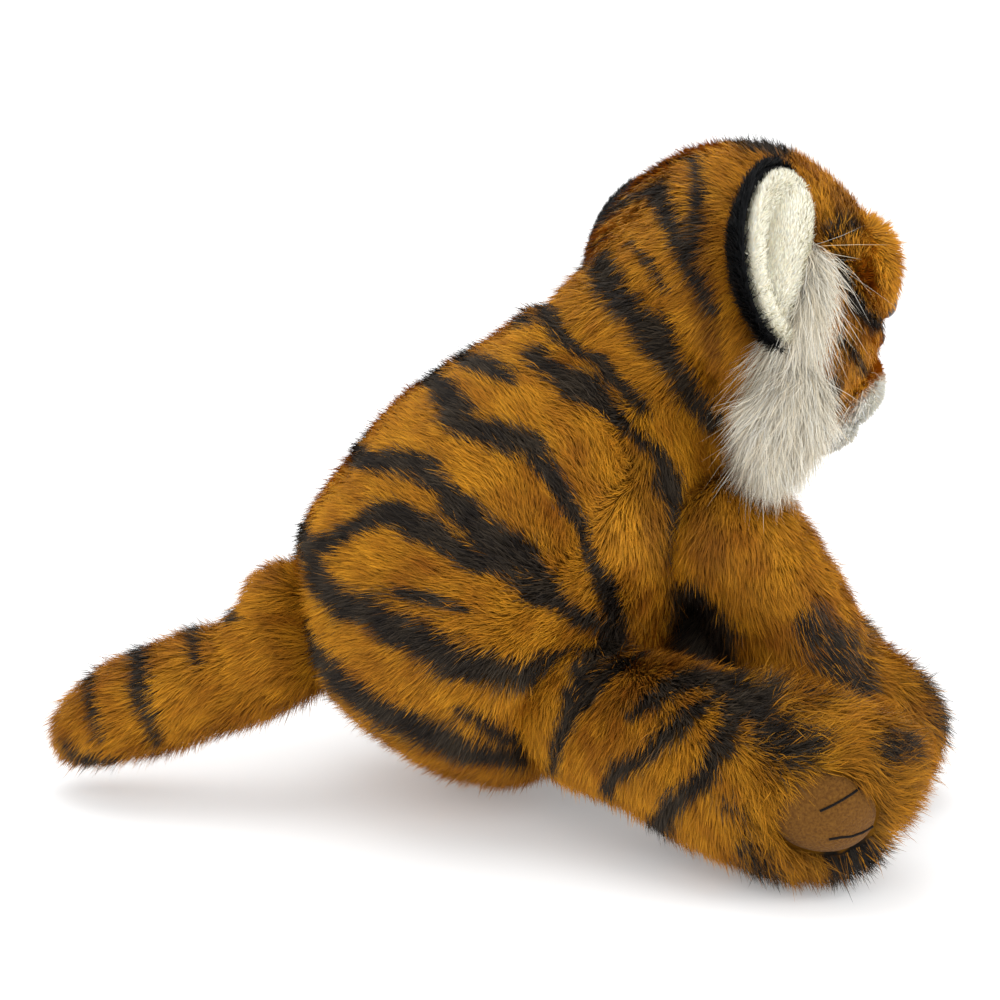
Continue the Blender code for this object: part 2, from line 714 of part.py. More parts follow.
def sole_pad(name, form, place_share, aim, size, parent, colour):
    """A suede patch on a leg's form: the layer over it that lies within an oval outline."""
    aim = aim.normalized()
    centre = along(form.path, place_share)
    outer = place_object(name, solid_mesh(name, form, PAD_THICKNESS + SEWN_ON_GAP), parent)
    inner = as_cutter(name + "_inside", solid_mesh(name + "_inside", form, SEWN_ON_GAP))
    frame = aim.to_track_quat("Z", "Y").to_matrix()
    bm = bmesh.new()
    low, high = [], []
    for j in range(PAD_OUTLINE_SIDES):
        turn = 2 * math.pi * j / PAD_OUTLINE_SIDES
        spread = frame @ Vector((size.x / 2 * math.cos(turn), size.y / 2 * math.sin(turn), 0))
        low.append(bm.verts.new(centre + spread))
        high.append(bm.verts.new(centre + spread + aim * (HIND_LEG_THICKNESS + OVERRUN)))
    bm.faces.new(low[::-1])
    bm.faces.new(high)
    for j in range(PAD_OUTLINE_SIDES):
        k = (j + 1) % PAD_OUTLINE_SIDES
        bm.faces.new((low[j], low[k], high[k], high[j]))
    outline = as_cutter(name + "_outline", mesh_from(bm, name + "_outline"))
    cut(outer, outline, "INTERSECT")
    cut(outer, inner)
    finish(outer, colour, SUEDE_ROUGHNESS)


def front_leg_form(side):
    """A front leg and its paw."""
    reach = FRONT_PAW_REACH - SHOULDER_REACH
    out = side * FRONT_LEG_SPACING / 2
    path = [
        Vector((SHOULDER_REACH + a * reach, out, SHOULDER_HEIGHT * (1 + b)))
        for a, b in FRONT_PATH_SHARES
    ]
    widths = [share * FRONT_LEG_THICKNESS / 2 for share in FRONT_WIDTH_SHARES]
    heights = [share * FRONT_PAW_THICKNESS / 2 for share in FRONT_WIDTH_SHARES]
    return settled(Form(path, widths, heights, LEFT, LEG_ROUNDNESS, LEG_SIDES, LEG_RINGS))


def hind_leg_form(side):
    """A hind leg and its foot."""
    reach, out = HIND_FOOT_REACH - HIP_REACH, HIND_FOOT_OUT - HIP_OUT
    fall = HIND_FOOT_THICKNESS / 2 - HIP_HEIGHT
    path = [
        Vector((HIP_REACH + a * reach, side * (HIP_OUT + b * out), HIP_HEIGHT + a * fall))
        for a, b in HIND_PATH_SHARES
    ]
    widths = [share * HIND_LEG_THICKNESS / 2 for share in HIND_WIDTH_SHARES]
    heights = [share * HIND_FOOT_THICKNESS / 2 for share in HIND_HEIGHT_SHARES]
    return settled(Form(path, widths, heights, LEFT, LEG_ROUNDNESS, LEG_SIDES, LEG_RINGS))


def swing_wedge(name, place, swing):
    """The cutter that leaves a root a wedge, with its ridge on the upright axis through place, so
    that it clears what is in front of it as far as it swings each way."""
    reach = TAIL_THICKNESS + OVERRUN
    back = TAIL_ROOT_RELIEF
    flank = back + reach * math.tan(swing)
    outline = [(reach, -reach), (reach, reach), (-flank, reach), (-back, 0), (-flank, -reach)]
    bm = bmesh.new()
    low = [bm.verts.new(place + Vector((x, y, -reach))) for x, y in outline]
    high = [bm.verts.new(place + Vector((x, y, reach))) for x, y in outline]
    bm.faces.new(low[::-1])
    bm.faces.new(high)
    for j in range(len(outline)):
        k = (j + 1) % len(outline)
        bm.faces.new((low[j], low[k], high[k], high[j]))
    return as_cutter(name, mesh_from(bm, name))


def tail_form(root):
    """The tail, which ends on the floor."""
    path = [
        Vector(
            (
                root.x - back * TAIL_LENGTH,
                root.y + aside * TAIL_ASIDE,
                TAIL_TIP_HEIGHT + up * (root.z - TAIL_TIP_HEIGHT),
            )
        )
        for back, aside, up in TAIL_PATH_SHARES
    ]
    widths = [share * TAIL_THICKNESS / 2 for share in TAIL_WIDTH_SHARES]
    form = Form(path, widths, widths, TAIL_FLAT_WAY, LEG_ROUNDNESS, TAIL_SIDES, TAIL_RINGS)
    return settled(form)


def build_front_leg(side, torso, floor):
    """One front leg, which lifts forward on its shoulder seam."""
    label = SIDE_NAMES[side] + "_front_leg"
    place = Vector((SHOULDER_REACH, side * FRONT_LEG_SPACING / 2, SHOULDER_HEIGHT))
    pivot = pivot_empty(label, place)
    form = front_leg_form(side)
    cutters = swing_cutters(
        label + "_seam", torso, place, -LEFT, 0, FRONT_LIFT, FRONT_LIFT_STEP
    )
    stuffed_part(label, form, pivot, [*cutters, floor], ORANGE_FUR)
    sole_pad(
        SIDE_NAMES[side] + "_front_paw_pad", form, FRONT_PAD_PLACE_SHARE,
        mirrored(FRONT_PAD_AIM, side), FRONT_PAD_SIZE, pivot, TAN_SUEDE,
    )


def build_hind_leg(side, torso, floor):
    """One hind leg, which splays outward on its hip seam."""
    label = SIDE_NAMES[side] + "_hind_leg"
    place = Vector((HIP_REACH, side * HIP_OUT, HIP_HEIGHT))
    pivot = pivot_empty(label, place)
    form = hind_leg_form(side)
    cutters = swing_cutters(
        label + "_seam", torso, place, UP * side, -HIND_TUCK, HIND_SPLAY, HIND_STEP
    )
    stuffed_part(label, form, pivot, [*cutters, floor], ORANGE_FUR)
    sole_pad(
        SIDE_NAMES[side] + "_hind_foot_pad", form, HIND_PAD_PLACE_SHARE,
        mirrored(HIND_PAD_AIM, side), HIND_PAD_SIZE, pivot, TAN_SUEDE,
    )


def build_tail(torso, floor):
    """The tail, which swings on its root seam. Its root is a wedge with its ridge on the axis, so
    that the tail clears the torso as far as it swings."""
    place, _ = surface_place(torso, TAIL_ROOT_AIM.normalized())
    pivot = pivot_empty("tail", place)
    seam = as_cutter("tail_seam", solid_mesh("tail_seam", torso, SEAM_GAP))
    wedge = swing_wedge("tail_wedge", place, TAIL_SWING)
    stuffed_part("tail", tail_form(place), pivot, [seam, wedge, floor], ORANGE_FUR)


def clear_scene():
    """Removes what the scene holds."""
    for piece in list(bpy.data.objects):
        bpy.data.objects.remove(piece)


def main():
    clear_scene()
    wide = RUMP_WIDTH + OVERRUN
    corner = Vector((wide, wide, 0))
    floor = as_cutter("floor", box_mesh("floor", -corner * 2 - UP * OVERRUN, corner * 2))
    torso = torso_form()
    build_torso(torso, floor)
    neck = Vector((CHEST_REACH + HEAD_AHEAD_OF_CHEST / 2, 0, CHEST_HEIGHT))
    head = pivot_empty("head", neck, HEAD_TURNED)
    build_head(head, torso)
    for side in SIDE_NAMES:
        build_front_leg(side, torso, floor)
        build_hind_leg(side, torso, floor)
    build_tail(torso, floor)


main()
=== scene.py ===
import json
import math

import bmesh
import bpy
import numpy as np
from bpy.props import FloatProperty, IntProperty, PointerProperty
from mathutils import Matrix, Vector
from mathutils.bvhtree import BVHTree
from mathutils.kdtree import KDTree


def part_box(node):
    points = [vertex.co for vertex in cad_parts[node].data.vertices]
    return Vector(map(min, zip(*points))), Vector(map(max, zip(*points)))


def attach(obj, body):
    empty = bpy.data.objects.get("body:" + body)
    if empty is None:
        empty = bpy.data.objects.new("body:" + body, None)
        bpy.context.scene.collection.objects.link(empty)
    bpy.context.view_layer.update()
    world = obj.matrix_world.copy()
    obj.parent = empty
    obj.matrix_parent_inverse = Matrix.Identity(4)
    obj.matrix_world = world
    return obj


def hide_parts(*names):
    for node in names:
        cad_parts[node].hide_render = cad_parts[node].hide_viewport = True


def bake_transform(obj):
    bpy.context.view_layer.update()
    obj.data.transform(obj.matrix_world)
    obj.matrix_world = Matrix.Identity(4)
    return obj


bl_info = {
    "name": "Plush tiger",
    "version": (1, 0, 0),
    "blender": (4, 5, 0),
    "location": "3D Viewport > Sidebar > Plush tiger",
    "description": "Sews the hides of a plush tiger, grows its pile and lights it",
    "category": "Add Mesh",
}

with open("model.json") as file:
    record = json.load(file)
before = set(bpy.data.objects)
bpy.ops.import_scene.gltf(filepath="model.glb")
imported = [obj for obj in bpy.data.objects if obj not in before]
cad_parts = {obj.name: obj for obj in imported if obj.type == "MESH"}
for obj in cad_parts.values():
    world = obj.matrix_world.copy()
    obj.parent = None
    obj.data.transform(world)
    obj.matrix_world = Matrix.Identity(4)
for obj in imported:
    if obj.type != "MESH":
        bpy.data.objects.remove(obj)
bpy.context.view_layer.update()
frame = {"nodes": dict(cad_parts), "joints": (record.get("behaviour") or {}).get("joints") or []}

SIDES = ("right", "left")
OUT = {"right": -1.0, "left": 1.0}

# The photo's camera
CAMERA_TARGET = Vector((0.02, 0.0, 0.12))
CAMERA_DISTANCE = 0.99
CAMERA_AZIMUTH = math.radians(-10)
CAMERA_ELEVATION = math.radians(14)
CAMERA_LENS = 85.5
CAMERA_SENSOR = 36.0
PHOTO_SIDE = 1000.0

# The head's joint, and how far the head is turned
HEAD_AXIS = Vector((0.10275, 0.0, 0.159))
HEAD_TURN = math.radians(15)

# Colours, linear
ORANGE = (0.66, 0.285, 0.014)
RUST = (0.30, 0.092, 0.005)
STRIPE = (0.016, 0.012, 0.010)
STRIPE_SHEEN = (0.070, 0.052, 0.034)
EAR_BLACK = (0.006, 0.007, 0.008)
CREAM = (0.86, 0.81, 0.69)
# A deeper cream that the ruff's strands are mixed towards at random: partly their own tone, partly
# painted shade among them
DEEP_CREAM_AND_SHADE = (0.62, 0.53, 0.38)
LINING_CREAM = (0.93, 0.89, 0.74)
WHITE = (0.92, 0.91, 0.85)

# The eye's pupil, iris and rim, each from that share of its radius
EYE_RINGS = (
    (0.0, (0.002, 0.002, 0.002)), (0.46, (0.002, 0.002, 0.002)), (0.51, (0.13, 0.040, 0.003)),
    (0.70, (0.34, 0.13, 0.010)), (0.78, (0.006, 0.004, 0.003)),
)

# Each stripe is a line of photo points, with its half width at the start, middle and end, and
# sometimes the share of its strands that are dark
NAPE_STRIPE = (
    [(606, 245), (620, 280), (636, 301), (664, 329), (682, 361), (700, 389), (718, 410)],
    (13, 17, 10),
)
# Partly painted shade: a band of dark strands along the crease between the haunch and the hind leg,
# partly a stripe and partly the crease's shade painted in
CREASE_STRIPE_AND_SHADE = ([(622, 626), (600, 652), (574, 702), (552, 752)], (13, 16, 6), 0.98)
TORSO_STRIPES = (
    NAPE_STRIPE, CREASE_STRIPE_AND_SHADE,
    ([(440, 360), (455, 400), (475, 432), (510, 446), (539, 455), (556, 482), (576, 519),
      (595, 551), (615, 581), (622, 611)], (15, 14, 6)),
    ([(366, 458), (390, 468), (418, 471), (441, 482), (464, 510), (487, 537), (514, 556),
      (539, 572), (567, 599), (601, 616), (622, 625)], (12, 18, 8)),
    ([(318, 545), (340, 545), (360, 537), (383, 524), (409, 521), (436, 535), (464, 554),
      (498, 570), (526, 583), (545, 596)], (11, 14, 9)),
    ([(322, 556), (333, 583), (356, 604), (395, 613), (418, 632), (452, 650), (487, 661),
      (521, 664), (556, 655), (590, 643)], (11, 18, 8)),
    ([(290, 585), (310, 622), (333, 655), (356, 680), (383, 698), (420, 715), (470, 735),
      (520, 745), (560, 715), (600, 685)], (10, 18, 6)),
    ([(305, 505), (318, 532)], (10, 10, 9)),
    ([(288, 545), (297, 565)], (9, 8, 6)),
    ([(480, 366), (497, 374), (520, 384)], (11, 14, 11)),
    ([(548, 362), (570, 380), (601, 402), (624, 418)], (11, 15, 10)),
    ([(530, 316), (540, 326)], (9, 8, 5)),
    ([(560, 318), (576, 343), (599, 361), (622, 379), (645, 396)], (11, 14, 10)),
    ([(627, 421), (657, 444), (668, 480), (675, 508), (682, 547), (691, 581)], (5, 12, 16)),
    ([(690, 580), (705, 615), (718, 650)], (20, 31, 22)),
    ([(600, 560), (612, 590), (624, 632)], (6, 9, 8)),
    ([(470, 700), (510, 722), (545, 728)], (5, 9, 6)),
    ([(405, 592), (440, 600), (480, 612)], (4, 8, 4)),
)
HEAD_STRIPES = (
    NAPE_STRIPE,
    ([(664, 172), (672, 192), (685, 222), (701, 263), (722, 300)], (13, 10, 6)),
    ([(648, 186), (664, 190)], (8, 12, 8)),
    ([(703, 150), (711, 182), (709, 206), (705, 250)], (6, 9, 6)),
    ([(736, 136), (758, 145), (779, 157), (790, 163)], (8, 11, 7)),
    ([(842, 182), (862, 198), (868, 208)], (7, 9, 6)),
    ([(834, 238), (846, 230), (856, 234)], (8, 11, 7), 0.7),
    # Partly painted shade: this black stripe runs along the crease below the brow, and is drawn
    # dark also for that crease's shadow
    ([(842, 262), (848, 284), (860, 304), (874, 316)], (5, 6, 8)),
    ([(834, 378), (830, 411), (822, 442)], (8, 9, 7)),
    ([(640, 240), (662, 262), (680, 286)], (3, 5, 3)),
    ([(842, 330), (858, 352), (866, 368)], (3, 4, 3)),
)
# The ear's thick lining on the photo: its middle line, and its half width in pixels at each point
LINING = (
    (780, 194, 11), (782, 210, 20), (777, 234, 24), (772, 260, 23), (769, 288, 20), (767, 318, 14),
)
# The left lining lies flatter than the right one
LINING_SHARE = {"right": 1.0, "left": 0.80}
LINING_FORWARD = 0.0016
# Where the cheek ruff's long hair grows, and how tousled it is
RUFF_TOUSLE = 0.20
RUFF_ROOTS = ([(806, 246), (800, 290), (796, 335), (792, 365)], (9, 13, 18))
# Painted shade: places, mostly creases and hollows, where the coat is painted rustier and darker to
# stand in for the shade that falls there
RUST_SHADE = (0.115, 0.032, 0.004)
RUST_SHADE_PLACES = (
    ([(640, 445), (650, 490), (660, 550)], (12, 16, 12), 0.55),
    ([(700, 480), (705, 520), (715, 550)], (14, 20, 12), 0.45),
    ([(640, 662), (680, 650), (720, 662)], (14, 18, 12), 0.75),
    ([(610, 700), (640, 690), (690, 705)], (10, 14, 10), 0.4),
    ([(712, 205), (708, 250), (716, 300), (724, 340)], (10, 14, 9), 0.75),
    ([(818, 236), (822, 280), (822, 330)], (8, 11, 8), 0.65),
    ([(838, 205), (850, 228)], (8, 12, 8), 0.5),
    ([(800, 866), (840, 868)], (16, 18, 14), 0.5),
)
FRONT_LEG_STRIPES = (
    ([(690, 580), (700, 600), (712, 625), (722, 652)], (14, 24, 16)),
    ([(806, 612), (826, 640), (850, 676)], (17, 30, 15), 0.88),
    ([(926, 700), (948, 730)], (12, 17, 12), 0.8),
    ([(880, 738), (905, 756)], (15, 18, 12), 0.7),
    ([(905, 672), (922, 690)], (8, 9, 6), 0.6),
)
HIND_LEG_STRIPES = (
    CREASE_STRIPE_AND_SHADE,
    ([(560, 727), (585, 702), (616, 671), (644, 646), (675, 633), (713, 651), (738, 671)],
     (5, 6, 4)),
    ([(634, 707), (662, 687), (688, 679), (722, 684)], (6, 9, 6)),
    ([(608, 776), (624, 753), (657, 738), (682, 715), (708, 696)], (8, 11, 6)),
    ([(624, 822), (657, 814), (672, 794), (698, 773), (713, 743), (730, 707), (762, 698)],
     (9, 12, 10)),
    ([(724, 694), (744, 712)], (18, 23, 15), 0.96),
    ([(746, 716), (775, 728), (800, 734)], (14, 18, 10), 0.5),
    ([(756, 738), (782, 750), (810, 750)], (12, 20, 12), 0.86),
    ([(742, 842), (764, 866)], (14, 20, 14), 0.7),
    ([(832, 860), (880, 854)], (13, 20, 14), 0.92),
    ([(724, 790), (740, 806)], (10, 14, 8), 0.35),
    ([(872, 738), (892, 750)], (13, 19, 13), 0.95),
    ([(770, 690), (850, 700)], (9, 14, 9), 0.22),
)
TAIL_STRIPES = (
    ([(212, 612), (206, 636), (210, 660)], (9, 8, 4)),
    ([(152, 652), (154, 690), (168, 728)], (9, 9, 7)),
    ([(101, 662), (104, 695), (112, 730)], (7, 7, 5)),
    ([(62, 684), (84, 682)], (8, 8, 5)),
    ([(80, 758), (124, 764)], (11, 13, 9)),
    ([(238, 608), (252, 616)], (7, 7, 4)),
)

# Where the pile points: photo points (from, to), on each body
TORSO_FLOW = (
    (470, 610, 400, 590), (400, 540, 345, 500), (350, 620, 300, 640), (420, 700, 370, 735),
    (520, 700, 490, 760), (580, 760, 575, 800), (500, 520, 460, 455), (560, 520, 535, 440),
    (430, 440, 385, 405), (510, 400, 470, 360), (600, 470, 575, 415), (560, 350, 520, 330),
    (640, 520, 640, 590), (650, 430, 640, 480), (700, 480, 705, 540), (720, 560, 725, 620),
    (610, 600, 560, 600), (620, 380, 590, 360), (780, 500, 790, 560), (480, 330, 450, 320),
    (330, 560, 290, 555), (600, 330, 580, 350),
)
HEAD_FLOW = (
    (700, 300, 640, 330), (660, 220, 620, 240), (720, 180, 680, 170), (760, 150, 720, 140),
    (640, 320, 620, 370), (700, 400, 680, 440), (830, 180, 810, 150), (850, 230, 820, 210),
    (870, 330, 845, 345), (850, 380, 830, 400), (830, 300, 810, 320), (760, 440, 740, 480),
    (800, 420, 790, 450),
)
FRONT_LEG_FLOW = (
    (740, 480, 740, 540), (760, 560, 765, 620), (700, 560, 700, 620), (820, 560, 850, 610),
    (830, 640, 860, 690), (880, 680, 925, 715), (930, 730, 955, 770), (780, 620, 800, 670),
)
HIND_LEG_FLOW = (
    (600, 660, 585, 710), (650, 650, 680, 680), (620, 740, 610, 790), (700, 700, 740, 730),
    (700, 800, 700, 860), (780, 720, 830, 720), (760, 690, 800, 680), (860, 700, 910, 715),
    (740, 840, 765, 860), (830, 878, 850, 905), (900, 800, 945, 806), (900, 750, 945, 745),
    (775, 765, 800, 778), (650, 800, 650, 840), (748, 800, 778, 812), (820, 748, 850, 752),
    (780, 880, 790, 905), (880, 865, 905, 890),
)
TAIL_FLOW = (
    (270, 640, 200, 655), (150, 690, 90, 710), (90, 690, 40, 700), (90, 740, 60, 780),
    (200, 700, 140, 730),
)
# The toe lines and the cheek's whiskers, as lines of photo points
STITCH_LINES = (
    ((820, 811), (831, 806), (842, 800), (853, 793), (862, 786), (868, 779)),
    ((829, 839), (840, 837), (851, 836), (862, 832), (872, 826)),
)
WHISKER_LINES = (
    ((878, 375), (867, 375), (854, 378)), ((879, 377), (867, 386), (851, 398)),
    ((844, 398), (849, 408), (854, 420)),
)
DOWN = np.array((0.0, 0.0, -1.0))
# The pile is pressed towards this level, just over the floor's paper
FLOOR = -0.0044
FLOOR_GIVE = 0.12
PAPER_LEVEL = -0.0056
# How far the muzzle and nose, the brows and the eyes lie back from their solids, and how far the
# brows hang below them
MUZZLE_BACK = 0.0028
BROW_BACK = 0.0070
BROW_LOWER = 0.0020
EYE_BACK = 0.0016
EYE_RADIUS = 0.0070
# The head's hide bears no pile this near to an eye, and is filled out behind it
EYE_CLEARANCE = 0.0090
SOCKET_BACK = 0.0032
SOCKET_RADIUS = 0.0098
# Filling in the jowls, by (photo point, distance from the face's middle), and in the lobe at the
# lower end of a brow
JOWLS = {"muzzle": ((856, 404), 0.014), "chin": ((842, 424), 0.010)}
JOWL_RADII = (0.0100, 0.0100, 0.0100)
BROW_LOBE = Vector((0, 0, -0.0095))
BROW_LOBE_RADII = (0.0085, 0.0095, 0.0085)
# The grain of the face's cloths, and how far they lie inside their solids, to leave room for pile
FACE_GRAIN = 0.0018
FACE_TAKEN_IN = -0.0022
# The muzzle is white below this line of photo points
MUZZLE_LINE = ((885, 368), (820, 446))
# The foot's suede sole on the photo: centre, radii, tilt; and how far it puffs out and tucks in
SOLE = ((824, 812), (67, 50), math.radians(4))
SOLE_PUFF = 0.0034
SOLE_TUCK = 0.0075
SOLE_RINGS = 14
SOLE_SIDES = 48
# Radii of the sewn threads and whiskers
TOE_THREAD = 0.0005
CHEEK_WHISKER = 0.00034
MUZZLE_WHISKER = 0.00026
# How deep the strands' roots sit in the cloth
ROOT_SINK = 0.0006
# Guard hairs: their share of the pile, and how much more they stand up and reach out
GUARD_SHARE = 0.14
GUARD_LIFT = 0.35
GUARD_REACH = 1.12
PIECE_STRANDS = 60000
# The lamps: name, place and size
LAMPS = (
    ("key", (-0.5, -1.3, 1.5), 1.3), ("fill", (1.4, -0.9, 0.9), 1.2),
    ("top", (-0.1, 0.35, 1.7), 1.3), ("low", (1.0, -1.2, 0.14), 0.8),
)
LAMPS_AIM = Vector((0.03, 0, 0.10))


class PileSettings(bpy.types.PropertyGroup):
    """The pile of the fur fabric."""

    density: FloatProperty(
        name="Density", description="Strands in a square millimetre", default=2.8, min=0.1, max=6
    )
    length: FloatProperty(
        name="Length", description="Length of the body's strands", default=0.0105, unit="LENGTH"
    )
    width: FloatProperty(
        name="Width", description="Width of a strand at its root", default=0.00038, unit="LENGTH"
    )
    lift: FloatProperty(
        name="Lift", description="How far the strands stand up from the cloth",
        default=math.radians(34), subtype="ANGLE",
    )
    clump: FloatProperty(
        name="Clumping", description="How far tips lean to their tuft", default=0.34,
        subtype="FACTOR",
    )
    tuft: FloatProperty(
        name="Tuft spacing", description="Distance between tufts", default=0.0040, unit="LENGTH"
    )
    seed: IntProperty(name="Seed", description="Seed of the random values", default=7)


class HideSettings(bpy.types.PropertyGroup):
    """The cloth under the pile."""

    voxel: FloatProperty(
        name="Cloth grain", description="Size of the cloth's mesh", default=0.0030, unit="LENGTH"
    )
    ear_voxel: FloatProperty(
        name="Ear grain", description="Size of the ears' mesh", default=0.0012, unit="LENGTH"
    )
    smoothing: IntProperty(name="Smoothing", description="Passes of smoothing", default=6)


class StageSettings(bpy.types.PropertyGroup):
    """The floor and the lights."""

    key: FloatProperty(
        name="Key light", description="Power of the key light", default=6.0, unit="POWER"
    )
    fill: FloatProperty(
        name="Fill light", description="Power of the fill light", default=12.0, unit="POWER"
    )
    low: FloatProperty(
        name="Low light", description="Power of the low light", default=2.2, unit="POWER"
    )
    top: FloatProperty(
        name="Top light", description="Power of the top light", default=11.0, unit="POWER"
    )
    paper: FloatProperty(
        name="Paper glow", description="Light that the paper gives off", default=0.22
    )
    world: FloatProperty(
        name="Room light", description="Strength of the room's light", default=0.85
    )


# Camera and photo points


def camera_axes():
    """The camera's place and its right, up and forward directions."""
    flat = math.cos(CAMERA_ELEVATION)
    back = Vector((
        math.sin(CAMERA_AZIMUTH) * flat, -math.cos(CAMERA_AZIMUTH) * flat,
        math.sin(CAMERA_ELEVATION),
    ))
    right = Vector((math.cos(CAMERA_AZIMUTH), math.sin(CAMERA_AZIMUTH), 0))
    return CAMERA_TARGET + back * CAMERA_DISTANCE, right, back.cross(right), -back


EYE_POINT, CAM_RIGHT, CAM_UP, CAM_FORWARD = (np.array(v) for v in camera_axes())
PHOTO_SCALE = CAMERA_LENS / CAMERA_SENSOR * PHOTO_SIDE


def photo_points(points):
    """The places of points in the photo, in pixels."""
    away = points - EYE_POINT
    depth = away @ CAM_FORWARD
    x = PHOTO_SIDE / 2 + PHOTO_SCALE * (away @ CAM_RIGHT) / depth
    y = PHOTO_SIDE / 2 - PHOTO_SCALE * (away @ CAM_UP) / depth
    return np.stack((x, y), 1)


def photo_ray(spot):
    """The direction from the camera through a photo point."""
    x, y = spot[0] - PHOTO_SIDE / 2, spot[1] - PHOTO_SIDE / 2
    return Vector(CAM_FORWARD * PHOTO_SCALE + CAM_RIGHT * x - CAM_UP * y).normalized()


def turned(points, pivot, angle):
    """Points turned about an upright axis."""
    c, s = math.cos(angle), math.sin(angle)
    turn = np.array(((c, -s, 0), (s, c, 0), (0, 0, 1)))
    return (points - np.array(pivot)) @ turn.T + np.array(pivot)


def near_side(points, head):
    """Points with those on the far half mirrored to the near one, and which were mirrored."""
    if head:
        points = turned(points, HEAD_AXIS, -HEAD_TURN)
    far = points[:, 1] > 0
    points = points * np.where(far, -1, 1)[:, None] ** np.array((0, 1, 0))
    if head:
        points = turned(points, HEAD_AXIS, HEAD_TURN)
    return points, far


def other_cheek(points):
    """Points of the head mirrored to its other half."""
    flat = turned(points, HEAD_AXIS, -HEAD_TURN) * np.array((1, -1, 1))
    return turned(flat, HEAD_AXIS, HEAD_TURN)


def line_distance(spots, line, widths):
    """How far spots lie inside a stripe: 1 on its line, 0 at its edge, and below 0 outside."""
    line = np.array(line, float)
    steps = np.linalg.norm(np.diff(line, axis=0), axis=1)
    run = np.concatenate(([0], np.cumsum(steps))) / steps.sum()
    best = np.full(len(spots), -9.0)
    for i in range(len(line) - 1):
        along = line[i + 1] - line[i]
        t = np.clip(((spots - line[i]) @ along) / (along @ along), 0, 1)
        away = np.linalg.norm(spots - line[i] - t[:, None] * along, axis=1)
        share = run[i] + t * (run[i + 1] - run[i])
        half = np.interp(share, (0, 0.5, 1), widths)
        best = np.maximum(best, 1 - away / half)
    return best


def noise(points, size, seed):
    """A smooth random value from -1 to 1 at each point, with patches of about that size."""
    rng = np.random.default_rng(seed)
    total = np.zeros(len(points))
    for _ in range(7):
        way = rng.normal(size=3)
        way *= 2 * math.pi / (size * 2.2) / np.linalg.norm(way) * rng.uniform(0.7, 1.4)
        total += np.sin(points @ way + rng.uniform(0, 2 * math.pi))
    return np.clip(total / 3.2, -1, 1)


def mixed(a, b, share):
    """Colours between a and b, one for each share."""
    share = np.clip(share, 0, 1)[:, None]
    return np.asarray(a) * (1 - share) + np.asarray(b) * share


# Hides: the cloth under the pile


def select_only(*objects):
    """Deselects everything, then selects the objects, the first one active."""
    bpy.ops.object.select_all(action="DESELECT")
    for obj in objects:
        obj.select_set(True)
    bpy.context.view_layer.objects.active = objects[0]


def copied(node, name):
    """A loose copy of a CAD node's mesh."""
    obj = bpy.data.objects.new(name, frame["nodes"][node].data.copy())
    obj.data.materials.clear()
    bpy.context.scene.collection.objects.link(obj)
    return obj


def ball(centre, radii):
    """An ellipsoid of filler."""
    bpy.ops.mesh.primitive_uv_sphere_add(segments=24, ring_count=14, radius=1, location=centre)
    obj = bpy.context.object
    obj.scale = radii
    bpy.ops.object.transform_apply(location=False, rotation=False, scale=True)
    return obj


def largest_part(obj):
    """Keeps only the outer shell of a mesh, without what is enclosed in it."""
    bm = bmesh.new()
    bm.from_mesh(obj.data)
    left, parts = set(bm.verts), []
    while left:
        stack, part = [left.pop()], []
        while stack:
            vert = stack.pop()
            part.append(vert)
            for edge in vert.link_edges:
                other = edge.other_vert(vert)
                if other in left:
                    left.remove(other)
                    stack.append(other)
        parts.append(part)
    parts.sort(key=len)
    spare = [v for part in parts[:-1] for v in part]
    bmesh.ops.delete(bm, geom=spare, context="VERTS")
    bm.to_mesh(obj.data)
    bm.free()


def sewn_hide(name, nodes, fillers, voxel, smoothing, grow=0.0):
    """One smooth closed cloth round CAD nodes and fillers."""
    parts = [copied(node, name) for node in nodes] + [ball(*filler) for filler in fillers]
    select_only(*parts)
    if len(parts) > 1:
        bpy.ops.object.join()
    obj = bpy.context.object
    obj.name = obj.data.name = name
    remesh = obj.modifiers.new("cloth", "REMESH")
    remesh.mode = "VOXEL"
    remesh.voxel_size = voxel
    bpy.ops.object.modifier_apply(modifier="cloth")
    largest_part(obj)
    smooth = obj.modifiers.new("smooth", "SMOOTH")
    smooth.factor = 0.5
    smooth.iterations = smoothing
    bpy.ops.object.modifier_apply(modifier="smooth")
    if grow:
        swell = obj.modifiers.new("swell", "DISPLACE")
        swell.strength = grow
        swell.mid_level = 0
        bpy.ops.object.modifier_apply(modifier="swell")
    bpy.ops.object.shade_smooth()
    return obj


def vertex_rows(mesh, key):
    """The places or normals of a mesh's points, as rows."""
    flat = np.zeros(len(mesh.vertices) * 3)
    mesh.vertices.foreach_get(key, flat)
    return flat.reshape(-1, 3)


